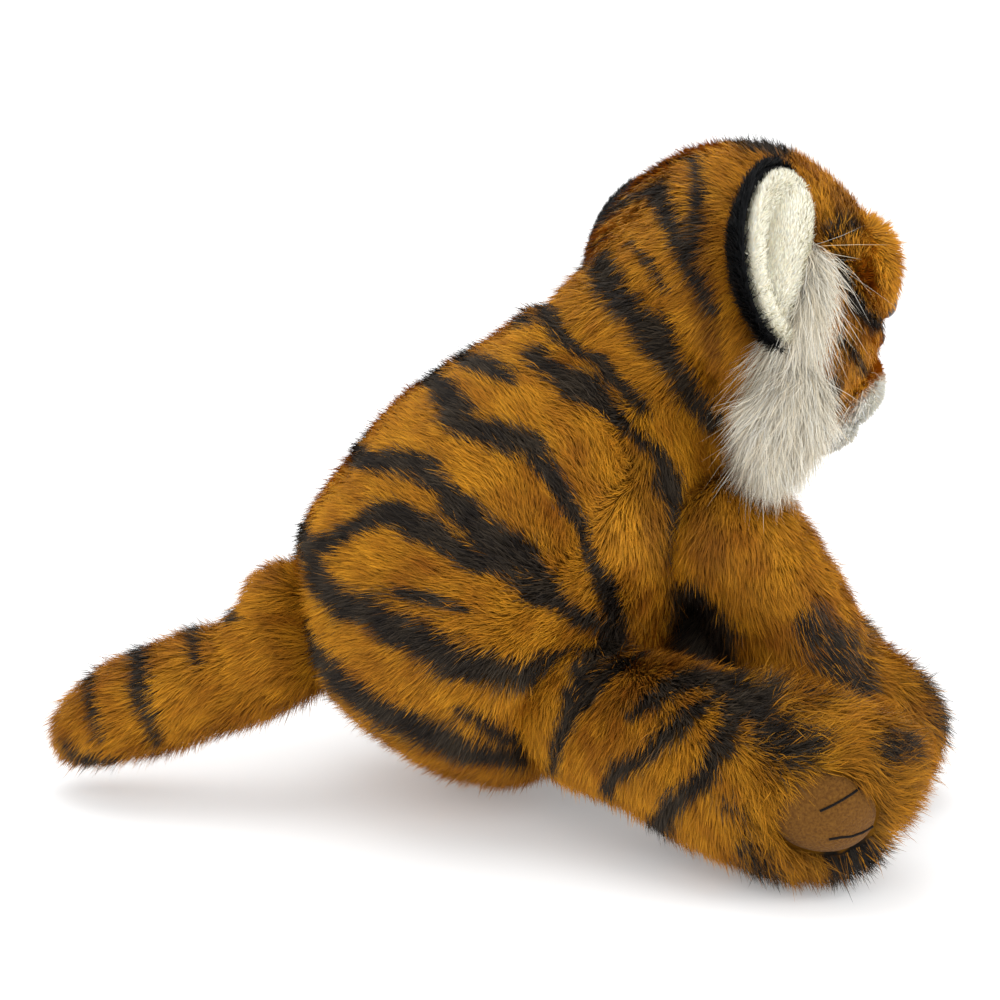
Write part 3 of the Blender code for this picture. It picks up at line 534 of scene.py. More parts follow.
class Cloth:
    """A hide's mesh as arrays, with what the pile needs to know of it."""

    def __init__(self, obj, closed=True):
        mesh = obj.data
        self.closed = closed
        mesh.calc_loop_triangles()
        self.co, self.normals = vertex_rows(mesh, "co"), vertex_rows(mesh, "normal")
        self.tris = np.zeros(len(mesh.loop_triangles) * 3, np.int64)
        mesh.loop_triangles.foreach_get("vertices", self.tris)
        self.tris = self.tris.reshape(-1, 3)
        corners = self.co[self.tris]
        self.centres = corners.mean(1)
        self.areas = np.linalg.norm(
            np.cross(corners[:, 1] - corners[:, 0], corners[:, 2] - corners[:, 0]), axis=1
        ) / 2
        self.tree = BVHTree.FromPolygons(self.co.tolist(), self.tris.tolist())
        self.low, self.high = self.co.min(0), self.co.max(0)

    def depth(self, points, reach):
        """How deep points lie under this cloth; below 0 outside it."""
        depths = np.full(len(points), -reach)
        near = np.all((points > self.low - reach) & (points < self.high + reach), axis=1)
        for i in np.nonzero(near)[0]:
            spot = Vector(points[i])
            place, normal, _, gap = self.tree.find_nearest(spot)
            depths[i] = (place - spot).dot(normal)
            if self.closed and depths[i] > 0 and not self.holds(spot):
                depths[i] = -gap
        return depths

    def holds(self, spot):
        """Whether a place lies inside the cloth, by the times that a line from it crosses it."""
        way, crossings = Vector((0.31, 0.52, 0.79)).normalized(), 0
        place = self.tree.ray_cast(spot, way)[0]
        while place is not None:
            crossings += 1
            place = self.tree.ray_cast(place + way * 1e-5, way)[0]
        return crossings % 2 == 1


CLOTHS = {}


# Pile


def roots_on(cloth, count, keep, rng):
    """Random places on a cloth, with their normals, on the faces to keep."""
    weight = cloth.areas * keep
    total = weight.sum()
    edges = np.cumsum(weight) / total
    chosen = np.searchsorted(edges, rng.random(count))
    u, v = rng.random(count), rng.random(count)
    over = u + v > 1
    u[over], v[over] = 1 - u[over], 1 - v[over]
    shares = np.stack((1 - u - v, u, v), 1)[:, :, None]
    tris = cloth.tris[chosen]
    points = (cloth.co[tris] * shares).sum(1)
    normals = (cloth.normals[tris] * shares).sum(1)
    return points, normals / np.linalg.norm(normals, axis=1)[:, None]


def unit(v):
    """Each row of v at length 1."""
    return v / np.maximum(np.linalg.norm(v, axis=1), 1e-9)[:, None]


def across(v, n):
    """The part of each v that lies across its n."""
    return v - (v * n).sum(1)[:, None] * n


def flow_field(guides, head=False):
    """A function that gives the pile's direction along the cloth from photo guides."""
    guides = np.array(guides, float)
    starts = guides[:, :2]
    steps = guides[:, 2:] - starts
    steps /= np.linalg.norm(steps, axis=1)[:, None]

    def flow(points, normals):
        near, far = near_side(points, head)
        spots = photo_points(near)
        gap = ((spots[:, None, :] - starts[None]) ** 2).sum(2) + 400
        weight = gap ** -1.5
        way = (weight[:, :, None] * steps[None]).sum(1)
        way = way[:, :1] * CAM_RIGHT - way[:, 1:] * CAM_UP
        if head:
            way = turned(way, (0, 0, 0), -HEAD_TURN)
            way[far, 1] *= -1
            way = turned(way, (0, 0, 0), HEAD_TURN)
        else:
            way[far, 1] *= -1
        return unit(across(way, normals))

    return flow


def steady_flow(way):
    """The same direction everywhere along the cloth."""

    def flow(points, normals):
        return unit(across(np.tile(np.array(way, float), (len(points), 1)), normals))

    return flow


def meeting_flow(target):
    """Pile that runs together towards a place."""

    def flow(points, normals):
        return unit(across(unit(target - points), normals))

    return flow


def away_flow(centre, way):
    """Pile that points away from a place, and partly one way."""

    def flow(points, normals):
        return unit(across(unit(points - centre) + np.array(way, float), normals))

    return flow


def orange_coat(points, seed=3):
    """The plain coat's colour, orange with rusty patches."""
    patch = noise(points, 0.020, seed) * 0.45 + noise(points, 0.005, seed + 1) * 0.55
    return mixed(ORANGE, RUST, 0.40 + 0.50 * patch)


def striped(stripes, head=False, ragged=0.32):
    """A function that gives the coat's colour from stripes drawn on the photo, with shade painted
    into its creases.
    """

    def coat(points, rng):
        near, _ = near_side(points, head)
        spots = photo_points(near)
        dark = np.zeros(len(points))
        edge = noise(points, 0.006, 21) * 0.25 + rng.normal(size=len(points)) * ragged * 0.6
        for line, widths, *share in stripes:
            inside = np.clip((line_distance(spots, line, widths) + edge) * 3.0 + 0.5, 0, 1)
            if share:
                inside *= rng.random(len(points)) < share[0]
            dark = np.maximum(dark, inside)
        sheen = np.clip(rng.random(len(points)) * 0.8 + noise(points, 0.008, 5) * 0.3, 0, 1)
        tone = orange_coat(points)
        # Painted shade: the coat is darkened towards a deep rust in the creases and hollows where
        # shade falls, from the table of painted shade places
        for line, widths, share in RUST_SHADE_PLACES:
            inside = np.clip(line_distance(spots, line, widths) * 1.6 + 0.5, 0, 1)
            tone = mixed(tone, RUST_SHADE, inside * share * rng.uniform(0.6, 1.2, len(points)))
        return mixed(tone, mixed(STRIPE, STRIPE_SHEEN, sheen), dark)

    return coat


def plain(colour, deep, spread=0.5):
    """A function that gives a plain coat's colour."""

    def coat(points, rng):
        return mixed(colour, deep, spread * rng.random(len(points)) ** 2)

    return coat


def face_keep(cloth, others, reach, depth):
    """Which faces of a cloth bear pile: not those that lie deeper than that under the others."""
    keep = np.ones(len(cloth.centres))
    for other in others:
        keep[other.depth(cloth.centres, reach) > depth] = 0
    return keep


def strand_count(context, cloth, keep, share=1.0):
    density = context.scene.tiger_pile.density * 1e6 * 1
    return int(density * share * (cloth.areas * keep).sum())


def grown_pile(
    name, cloth, keep, count, length, width, lift, flow, coat, rng, wild=None, stray=0.20,
    droop=0.16, pull=(0, 0, 0), curl=0.05, tuft=0.0040, clump=0.34, levels=2, root_shade=0.30,
    tip_highlight=1.18, pale_roots=0.8,
):
    """Grows tapered strands on a cloth and returns their mesh object."""
    points, normals = roots_on(cloth, count, keep, rng)
    way = flow(points, normals)
    aside = np.cross(normals, way)
    wild = wild(points) if wild else np.zeros(count)
    swirl = rng.normal(size=count) * (stray + 0.34 * wild)
    swirl += noise(points, 0.012, 31) * (0.30 + 0.9 * wild)
    way = unit(way + aside * swirl[:, None])
    lifts = lift + rng.normal(size=count) * (0.15 + 0.15 * wild) + noise(points, 0.014, 33) * 0.14
    guard = rng.random(count) < GUARD_SHARE
    lifts[guard] += GUARD_LIFT
    lengths = (length(points) if callable(length) else length) * rng.uniform(0.72, 1.15, count)
    lengths[guard] *= GUARD_REACH
    ray = way * np.cos(lifts)[:, None] + normals * np.sin(lifts)[:, None]
    tips = points + ray * lengths[:, None] - normals * (lengths * droop)[:, None]
    curls = rng.normal(size=(count, 3)) * curl
    tips += (np.array(pull, float) + curls * (1 + 1.5 * wild[:, None])) * lengths[:, None]
    tips = tufted(points, tips, tuft, clump, rng)
    knees = points + ray * (lengths * 0.5)[:, None]
    for spots in (tips, knees):
        spots[:, 2] = np.maximum(spots[:, 2], FLOOR + (spots[:, 2] - FLOOR) * FLOOR_GIVE)
    strand = unit(tips - points)
    side = unit(np.cross(strand, normals))
    face = unit(across(normals, strand))
    spin = rng.uniform(-0.75, 0.75, count)[:, None]
    side = side * np.cos(spin) + face * np.sin(spin)
    half = width / 2 * rng.uniform(0.75, 1.25, count)[:, None]
    rows = []
    for level in range(levels):
        t = level / levels
        spot = points * (1 - t) ** 2 + knees * 2 * t * (1 - t) + tips * t * t
        if level == 0:
            spot = spot - normals * ROOT_SINK
        rows += [spot - side * half * (1 - 0.3 * t), spot + side * half * (1 - 0.3 * t)]
    verts = np.stack((*rows, tips), 1)
    colours = coat(points, rng)
    colours *= (rng.uniform(0.80, 1.20, count) - wild * rng.random(count) * 0.62)[:, None]
    warm = 1 + rng.normal(size=(count, 1)) * np.array((0.03, 0.0, -0.05))
    colours = np.clip(colours * warm, 0, 1)
    # Painted shade and light along each strand: darker towards the root, lighter at the tip; pale
    # strands are spared most of the painted root shade, by pale_roots
    ramp = np.interp(np.arange(levels) / levels, (0, 0.5, 1), (root_shade, 0.82, 1.1))
    ramp = np.append(np.repeat(ramp, 2), tip_highlight)
    pale = np.clip((colours[:, 2] - 0.2) / 0.3, 0, 1) * pale_roots
    ramp = ramp[None] + (1 - ramp[None]) * pale[:, None]
    shades = np.clip(colours[:, None, :] * ramp[:, :, None], 0, 1)
    bend = unit(face * 0.8 + normals * 0.5)
    return blade_mesh(name, verts, shades, bend)


def tufted(points, tips, spacing, share, rng):
    """Tips leaned towards the tips of the tufts that they stand nearest to."""
    count = len(points)
    seeds = rng.choice(count, max(8, int(count * tuft_share(points, spacing))), replace=False)
    tree = KDTree(len(seeds))
    for i, seed in enumerate(seeds):
        tree.insert(points[seed], i)
    tree.balance()
    nearest = np.array([tree.find(p)[1] for p in points])
    goal = tips[seeds][nearest]
    lean = share * rng.uniform(0.4, 1.0, len(points))[:, None]
    return tips + (goal - tips) * lean * 0.62


def tuft_share(points, spacing):
    """The share of roots that start a tuft, from the roots' rough density."""
    sides = np.sort(points.max(0) - points.min(0))[::-1]
    surface = 2.2 * (sides[0] * sides[1] + sides[1] * sides[2] + sides[0] * sides[2])
    return min(0.2, surface / spacing ** 2 / max(len(points), 1))


def blade_mesh(name, verts, shades, bend):
    """The strands' mesh, with the cloth's shading normals and a colour at each point."""
    count, points = verts.shape[:2]
    flat = verts.reshape(-1, 3)
    steps = [(i, i + 1, i + 3) for i in range(0, points - 3, 2)]
    steps += [(i, i + 3, i + 2) for i in range(0, points - 3, 2)]
    steps.append((points - 3, points - 2, points - 1))
    faces = np.array(steps)[None] + np.arange(count)[:, None, None] * points
    corner = flat[faces[:, 0]]
    made = np.cross(corner[:, 1] - corner[:, 0], corner[:, 2] - corner[:, 0])
    wrong = (made * bend).sum(1) < 0
    faces[wrong] = faces[wrong][:, :, ::-1]
    faces = faces.reshape(-1, 3)
    mesh = bpy.data.meshes.new(name)
    mesh.vertices.add(len(flat))
    mesh.vertices.foreach_set("co", flat.astype(np.float32).ravel())
    mesh.loops.add(len(faces) * 3)
    mesh.loops.foreach_set("vertex_index", faces.astype(np.int32).ravel())
    mesh.polygons.add(len(faces))
    mesh.polygons.foreach_set("loop_start", np.arange(0, len(faces) * 3, 3, dtype=np.int32))
    mesh.polygons.foreach_set("use_smooth", np.ones(len(faces), bool))
    mesh.update()
    normals = mesh.attributes.new("custom_normal", "FLOAT_VECTOR", "POINT")
    normals.data.foreach_set("vector", np.repeat(bend, points, 0).astype(np.float32).ravel())
    paint(mesh, shades.reshape(-1, 3))
    obj = bpy.data.objects.new(name, mesh)
    bpy.context.scene.collection.objects.link(obj)
    mesh.materials.append(fur_material())
    return obj


def paint(mesh, colours):
    """Writes a colour at each point of a mesh."""
    layer = mesh.attributes.get("Coat") or mesh.attributes.new("Coat", "FLOAT_COLOR", "POINT")
    full = np.ones((len(colours), 4), np.float32)
    full[:, :3] = colours
    layer.data.foreach_set("color", full.ravel())


# Materials


def material(name, roughness=0.6, sheen=0.0):
    """A new Principled material with its nodes."""
    made = bpy.data.materials.new(name)
    made.use_nodes = True
    shader = made.node_tree.nodes["Principled BSDF"]
    shader.inputs["Roughness"].default_value = roughness
    shader.inputs["Sheen Weight"].default_value = sheen
    return made, made.node_tree, shader


def coat_material(name, roughness, shine):
    """A material, made once, that takes its colour from the coat and the painted shade written on
    the mesh.
    """
    found = bpy.data.materials.get(name)
    if found:
        return found
    made, tree, shader = material(name, roughness=roughness)
    shader.inputs["Specular IOR Level"].default_value = shine
    coat = tree.nodes.new("ShaderNodeAttribute")
    coat.attribute_name = "Coat"
    tree.links.new(coat.outputs["Color"], shader.inputs["Base Color"])
    return made


def fur_material():
    """The pile's strands."""
    return coat_material("pile", roughness=0.60, shine=0.13)


def cloth_material():
    """The knitted backing under the pile."""
    return coat_material("backing", roughness=0.95, shine=0.05)


def speckled_material(name, low, high, scale, roughness, bump):
    """A napped fabric with fine mottling and a fine bump."""
    made, tree, shader = material(name, roughness=roughness, sheen=0.05)
    shader.inputs["Specular IOR Level"].default_value = 0.15
    place = tree.nodes.new("ShaderNodeTexCoord")
    fine = tree.nodes.new("ShaderNodeTexNoise")
    fine.inputs["Scale"].default_value = scale
    fine.inputs["Detail"].default_value = 5
    ramp = tree.nodes.new("ShaderNodeValToRGB")
    ramp.color_ramp.elements[0].position = 0.32
    ramp.color_ramp.elements[0].color = (*low, 1)
    ramp.color_ramp.elements[1].position = 0.68
    ramp.color_ramp.elements[1].color = (*high, 1)
    relief = tree.nodes.new("ShaderNodeBump")
    relief.inputs["Strength"].default_value = bump
    relief.inputs["Distance"].default_value = 0.0006
    tree.links.new(place.outputs["Object"], fine.inputs["Vector"])
    tree.links.new(fine.outputs["Fac"], ramp.inputs["Fac"])
    tree.links.new(ramp.outputs["Color"], shader.inputs["Base Color"])
    tree.links.new(fine.outputs["Fac"], relief.inputs["Height"])
    tree.links.new(relief.outputs["Normal"], shader.inputs["Normal"])
    return made


def plain_material(name, colour, roughness):
    """A smooth material of one colour, for the paper."""
    made, _, shader = material(name, roughness=roughness)
    shader.inputs["Specular IOR Level"].default_value = 0.2
    shader.inputs["Base Color"].default_value = (*colour, 1)
    return made


# Places, and the hides of each body


def node_centre(node):
    """The middle of a CAD node's box."""
    low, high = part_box(node)
    return (low + high) / 2


def joint_named(name):
    """A joint of the record."""
    return next(j for j in frame["joints"] if j["name"] == name)


def joint_place(name):
    """Where a joint lies."""
    return Vector(joint_named(name)["pos_m"])


def photo_place(spot, like):
    """The point of the photo's ray through a spot that lies as deep as another point."""
    ray = np.array(photo_ray(spot))
    depth = (np.array(like) - EYE_POINT) @ CAM_FORWARD
    return EYE_POINT + ray * depth / (ray @ CAM_FORWARD)


def on_both_cheeks(spot, aside):
    """The places on the near and the far cheek of a photo spot that far from the face's middle."""
    face = face_way()
    near = photo_place(spot, node_centre("nose") + Vector((face.y, -face.x, 0)) * aside)
    return [Vector(near), Vector(other_cheek(near[None])[0])]


def hide_plan():
    """For each hide: (body, CAD nodes to wrap, fillers, nodes it stands for)."""
    plan = {
        "torso_hide": (
            "torso", ["torso_stuffing", "pellet_pouch"],
            [(Vector((0.10, 0, 0.150)), (0.034, 0.040, 0.036)),
             (Vector((0.084, 0, 0.187)), (0.037, 0.047, 0.035)),
             (Vector(photo_place((706, 646), (0.07, 0, 0.05))), (0.026, 0.036, 0.030))],
            ["torso_skin", "torso_stuffing", "pellet_pouch"],
        ),
        "head_hide": (
            "head", ["head_stuffing"],
            [(joint_place("head_turn") + Vector((0, 0, 0.008)), (0.040, 0.042, 0.040))]
            + [(node_centre(s + "_eye_washer") - face_way() * SOCKET_BACK, (SOCKET_RADIUS,) * 3)
               for s in SIDES]
            + [(spot, (0.0090, 0.0090, 0.0150)) for spot in on_both_cheeks((853, 343), 0.012)],
            ["head_skin", "head_stuffing"] + [s + "_eye_washer" for s in SIDES],
        ),
        "tail_hide": (
            "tail", ["tail_stuffing"],
            [(joint_place("tail_swing") + Vector((0.004, 0, -0.002)), (0.020, 0.017, 0.015)),
             (joint_place("tail_swing") + Vector((-0.006, 0, -0.004)), (0.024, 0.019, 0.0185)),
             (Vector(photo_place((292, 604), joint_place("tail_swing"))),
              (0.0150, 0.0150, 0.0150))],
            ["tail_skin", "tail_stuffing"],
        ),
    }
    for side in SIDES:
        plan[side + "_front_leg_hide"] = (
            side + "_front_leg", [side + "_front_leg_stuffing"],
            [(joint_place(side + "_front_leg_lift"), (0.026, 0.024, 0.026))],
            [side + "_front_leg_skin", side + "_front_leg_stuffing"],
        )
        plan[side + "_hind_leg_hide"] = (
            side + "_hind_leg", [side + "_hind_leg_stuffing"],
            [(joint_place(side + "_hind_leg_splay"), (0.026, 0.024, 0.026))],
            [side + "_hind_leg_skin", side + "_hind_leg_stuffing"],
        )
    return plan


# Where each hide is drawn in or out: (photo point, reach in pixels, metres)
EASES = {
    "head_hide": (((735, 165), 50, 0.0010), ((632, 196), 34, -0.0034), ((580, 268), 26, 0.0072)),
    "torso_hide": (
        ((335, 470), 45, -0.0034), ((400, 400), 40, -0.0014), ((490, 335), 45, -0.0016),
        ((400, 770), 48, -0.0046), ((530, 778), 26, 0.0085), ((290, 560), 24, 0.0060),
        ((545, 305), 28, 0.0085),
    ),
    "right_hind_leg_hide": (
        ((938, 832), 32, -0.0090), ((948, 775), 28, -0.0050), ((615, 822), 42, -0.0052),
        ((540, 775), 24, 0.0030), ((780, 890), 50, 0.0030), ((905, 862), 26, -0.0080),
    ),
    "right_front_leg_hide": (
        ((850, 590), 38, 0.0064), ((922, 672), 45, 0.0068), ((800, 520), 26, 0.0026),
    ),
    "tail_hide": (
        ((280, 715), 36, 0.0048), ((190, 640), 20, 0.0026), ((90, 685), 42, 0.0046),
        ((262, 604), 20, 0.0022),
    ),
}
for _part in ("hind_leg_hide", "front_leg_hide"):
    EASES["left_" + _part] = EASES["right_" + _part]
# How far the tail's end is lifted
TAIL_RISE = 0.0072
# How full the hides are, where it isn't 0.7
FILLS = {"torso_hide": 0.75, "head_hide": 0.85}


def hung(obj, body):
    """Hangs a torso or head piece on its body; any other piece stays where it stands, its place
    baked into its mesh.
    """
    if body in ("torso", "head"):
        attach(obj, body)
        return
    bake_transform(obj)


def coats():
    """Each body's coat and flow."""
    made = {
        "torso_hide": (striped(TORSO_STRIPES), flow_field(TORSO_FLOW)),
        "head_hide": (striped(HEAD_STRIPES, head=True), flow_field(HEAD_FLOW, head=True)),
        "tail_hide": (striped(TAIL_STRIPES), flow_field(TAIL_FLOW)),
    }
    for side in SIDES:
        made[side + "_front_leg_hide"] = (striped(FRONT_LEG_STRIPES), flow_field(FRONT_LEG_FLOW))
        made[side + "_hind_leg_hide"] = (striped(HIND_LEG_STRIPES), flow_field(HIND_LEG_FLOW))
    return made


def eased(obj, places):
    """Draws the cloth in or out round photo points, by (point, reach in pixels, metres)."""
    mesh = obj.data
    points = vertex_rows(mesh, "co")
    near, _ = near_side(points, obj.name.startswith("head"))
    spots = photo_points(near)
    gain = sum(
        (amount * np.exp(-((spots - np.array(spot)) ** 2).sum(1) / (2 * reach ** 2))
         for spot, reach, amount in places), np.zeros(len(spots)),
    )
    moved = points + vertex_rows(mesh, "normal") * gain[:, None]
    if obj.name.startswith("tail"):
        share = np.clip((255 - spots[:, 0]) / 160, 0, 1)
        moved[:, 2] += TAIL_RISE * share * share * (3 - 2 * share)
    mesh.vertices.foreach_set("co", moved.ravel())
    mesh.update()


def padded_piece(obj, made, slot, fill, *stands_for):
    """Gives a padded piece its material, and hides the nodes that it stands for. How full it is, is
    not used.
    """
    obj.data.materials.append(made)
    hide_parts(*stands_for)


class TIGER_OT_hides(bpy.types.Operator):
    """Sews the padded hides of the torso, head, legs and tail"""

    bl_idname = "tiger.hides"
    bl_label = "Sew the hides"

    def execute(self, context):
        sizes = context.scene.tiger_hide
        rng = np.random.default_rng(context.scene.tiger_pile.seed)
        coat_of = coats()
        for name, (body, nodes, fillers, stands_for) in hide_plan().items():
            obj = sewn_hide(name, nodes, fillers, sizes.voxel, sizes.smoothing)
            eased(obj, EASES.get(name, ()))
            CLOTHS[name] = Cloth(obj)
            tone = coat_of[name][0](CLOTHS[name].co, rng)
            # Painted shade: the backing under the pile is painted darker than the coat, least where
            # the coat is pale, to stand in for the shade deep in the pile
            pale = np.clip((tone[:, 2:] - 0.15) / 0.3, 0, 1)
            paint(obj.data, tone * (0.22 + 0.6 * pale))
            padded_piece(obj, cloth_material(), "orange_plush", FILLS.get(name, 0.7), *stands_for)
            hung(obj, body)
        return {"FINISHED"}


# Pile of the bodies


def coat_length(name, base):
    """How long the pile is at each place of a body."""

    def length(points):
        long = np.full(len(points), base)
        if name == "head_hide":
            near, _ = near_side(points, True)
            spots = photo_points(near)
            face = np.clip((spots[:, 0] - 800) / 60, 0, 1)
            nape = np.clip((spots[:, 1] - 280) / 80, 0, 1) * np.clip((720 - spots[:, 0]) / 60, 0, 1)
            crown = np.clip((690 - spots[:, 0]) / 40, 0, 1) * (1 - nape)
            long = long * (1 - 0.30 * face + 0.25 * nape - 0.22 * crown)
        if name.endswith("hind_leg_hide"):
            near, _ = near_side(points, False)
            foot = np.clip((photo_points(near)[:, 0] - 720) / 50, 0, 1)
            long = long * (1 + 0.30 * foot)
        if name.endswith("front_leg_hide"):
            near, _ = near_side(points, False)
            paw = np.clip((photo_points(near)[:, 0] - 850) / 40, 0, 1)
            long = long * (1 + 0.30 * paw)
        if name == "tail_hide":
            long = long * 1.12
        return long

    return length


def wildness(name):
    """How tousled the pile is at each place of a body: the feet and paws are ruffled."""
    start = 715 if "hind" in name else 850

    def wild(points):
        if not name.endswith("leg_hide"):
            return np.zeros(len(points))
        spots = photo_points(near_side(points, False)[0])
        return np.clip((spots[:, 0] - start) / 50, 0, 1) * (0.75 + 0.25 * noise(points, 0.02, 71))

    return wild


# The hides under which each hide bears no pile
PILE_OVER = {
    "torso_hide": ("head_hide", "right_front_leg_hide", "left_front_leg_hide",
                   "right_hind_leg_hide", "left_hind_leg_hide", "tail_hide"),
    "head_hide": ("torso_hide",),
    "tail_hide": ("torso_hide",),
    "right_front_leg_hide": ("torso_hide", "right_hind_leg_hide"),
    "left_front_leg_hide": ("torso_hide", "left_hind_leg_hide"),
    "right_hind_leg_hide": ("torso_hide",),
    "left_hind_leg_hide": ("torso_hide",),
}


class TIGER_OT_pile(bpy.types.Operator):
    """Grows the striped pile of the torso, head, legs and tail"""

    bl_idname = "tiger.pile"
    bl_label = "Grow the pile"

    def execute(self, context):
        pile = context.scene.tiger_pile
        coat_of = coats()
        plan = hide_plan()
        for index, (name, others) in enumerate(PILE_OVER.items()):
            cloth = CLOTHS[name]
            pads = [c for k, c in CLOTHS.items() if k.endswith("_suede")]
            keep = face_keep(cloth, [CLOTHS[o] for o in others], reach=0.02, depth=0.0035)
            keep *= face_keep(cloth, pads, reach=0.01, depth=-0.0008)
            if name == "head_hide":
                linings = [CLOTHS[s + "_ear_lining_cloth"] for s in SIDES]
                keep *= face_keep(cloth, linings, reach=0.01, depth=-0.0020)
                faces = [CLOTHS[k] for k in ("muzzle_cloth", "chin_cloth")]
                keep *= face_keep(cloth, faces, reach=0.02, depth=0.001)
                keep *= clear_of_eyes(cloth)
            count = strand_count(context, cloth, keep, 0.5)
            coat, flow = coat_of[name]
            parts = max(1, math.ceil(count / PIECE_STRANDS))
            for part in range(parts + 1):
                under = part == 0
                obj = grown_pile(
                    name.removesuffix("hide") + ("undercoat" if under else f"pile_{part}"), cloth,
                    keep, count if under else count // parts,
                    length=coat_length(name, pile.length * (0.92 if under else 1)),
                    width=pile.width, lift=pile.lift, flow=flow, coat=coat,
                    rng=np.random.default_rng(pile.seed + 100 * index + part), tuft=pile.tuft,
                    clump=pile.clump, pull=(0, 0, -0.08), levels=1 if under else 2,
                    wild=wildness(name),
                )
                hung(obj, plan[name][0])
        return {"FINISHED"}


def clear_of_eyes(cloth):
    """Which faces of a cloth bear pile: not those round the eyes."""
    keep = np.ones(len(cloth.centres))
    for side in SIDES:
        centre = np.array(node_centre(side + "_eye"))
        keep[np.linalg.norm(cloth.centres - centre, axis=1) < EYE_CLEARANCE] = 0
    return keep


# Face


class TIGER_OT_face(bpy.types.Operator):
    """Sews the muzzle, chin, brows, nose and eyes"""

    bl_idname = "tiger.face"
    bl_label = "Sew the face"

    def execute(self, context):
        sizes = context.scene.tiger_hide
        rng = np.random.default_rng(5)
        for node in JOWLS:
            spot, aside = JOWLS[node]
            fillers = [(jowl, JOWL_RADII) for jowl in on_both_cheeks(spot, aside)]
            obj = sewn_hide(
                node + "_cloth", [node], fillers, FACE_GRAIN, sizes.smoothing, grow=FACE_TAKEN_IN
            )
            obj.data.transform(Matrix.Translation(face_way() * -MUZZLE_BACK))
            CLOTHS[node + "_cloth"] = Cloth(obj)
            paint(obj.data, muzzle_coat(CLOTHS[node + "_cloth"].co, rng))
            padded_piece(obj, cloth_material(), "white_plush", 0.8, node)
            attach(obj, "head")
        for side in SIDES:
            node = side + "_brow"
            lobe = [(node_centre(node) + BROW_LOBE, BROW_LOBE_RADII)]
            obj = sewn_hide(
                node + "_cloth", [node], lobe, FACE_GRAIN, sizes.smoothing, grow=FACE_TAKEN_IN
            )
            way = face_way() * -BROW_BACK + Vector((0, 0, -BROW_LOWER))
            obj.data.transform(Matrix.Translation(way))
            CLOTHS[node + "_cloth"] = Cloth(obj)
            # Painted shade: the brow's backing is painted darker than its coat, for the shade under
            # its pile
            paint(obj.data, orange_coat(CLOTHS[node + "_cloth"].co) * 0.4)
            padded_piece(obj, cloth_material(), "orange_plush", 0.7, node)
            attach(obj, "head")
        nose = sewn_hide("nose_cloth", ["nose"], [], voxel=0.0009, smoothing=4, grow=-0.0008)
        nose.data.transform(Matrix.Translation(face_way() * -MUZZLE_BACK))
        felt = speckled_material(
            "nose_fabric", (0.014, 0.008, 0.006), (0.030, 0.015, 0.010), scale=900,
            roughness=0.7, bump=0.3,
        )
        padded_piece(nose, felt, "nose_fabric", 0.9, "nose")
        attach(nose, "head")
        for side in SIDES:
            eye = sewn_hide(side + "_eye_glass", [side + "_eye"], [], voxel=0.0004, smoothing=6)
            eye.data.transform(Matrix.Translation(face_way() * -EYE_BACK))
            eye.data.materials.append(eye_material(side))
            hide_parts(side + "_eye")
            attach(eye, "head")
        return {"FINISHED"}


def face_way():
    """The way the face looks."""
    return Vector((math.cos(HEAD_TURN), math.sin(HEAD_TURN), 0))


def eye_material(side):
    """Amber glass-like plastic with a black pupil, round the way the eye looks."""
    made, tree, shader = material(side + "_eye", roughness=0.06)
    centre = node_centre(side + "_eye") - face_way() * EYE_BACK
    look = (centre - (HEAD_AXIS + Vector((0, 0, 0.045)))).normalized()
    look = (look + face_way() * 0.8).normalized()
    place = tree.nodes.new("ShaderNodeTexCoord")
    minus = tree.nodes.new("ShaderNodeVectorMath")
    minus.operation = "SUBTRACT"
    minus.inputs[1].default_value = centre
    way = tree.nodes.new("ShaderNodeVectorMath")
    way.operation = "CROSS_PRODUCT"
    way.inputs[1].default_value = look
    far = tree.nodes.new("ShaderNodeVectorMath")
    far.operation = "LENGTH"
    scale = tree.nodes.new("ShaderNodeMath")
    scale.operation = "MULTIPLY"
    scale.inputs[1].default_value = 1 / EYE_RADIUS
    ramp = tree.nodes.new("ShaderNodeValToRGB")
    stops = ramp.color_ramp.elements
    for stop, (position, colour) in zip(stops, EYE_RINGS):
        stop.position = position
        stop.color = (*colour, 1)
    for position, colour in EYE_RINGS[2:]:
        stops.new(position).color = (*colour, 1)
    links = tree.links
    links.new(place.outputs["Object"], minus.inputs[0])
    links.new(minus.outputs["Vector"], way.inputs[0])
    links.new(way.outputs["Vector"], far.inputs[0])
    links.new(far.outputs["Value"], scale.inputs[0])
    links.new(scale.outputs["Value"], ramp.inputs["Fac"])
    links.new(ramp.outputs["Color"], shader.inputs["Base Color"])
    shader.inputs["Specular IOR Level"].default_value = 0.35
    return made


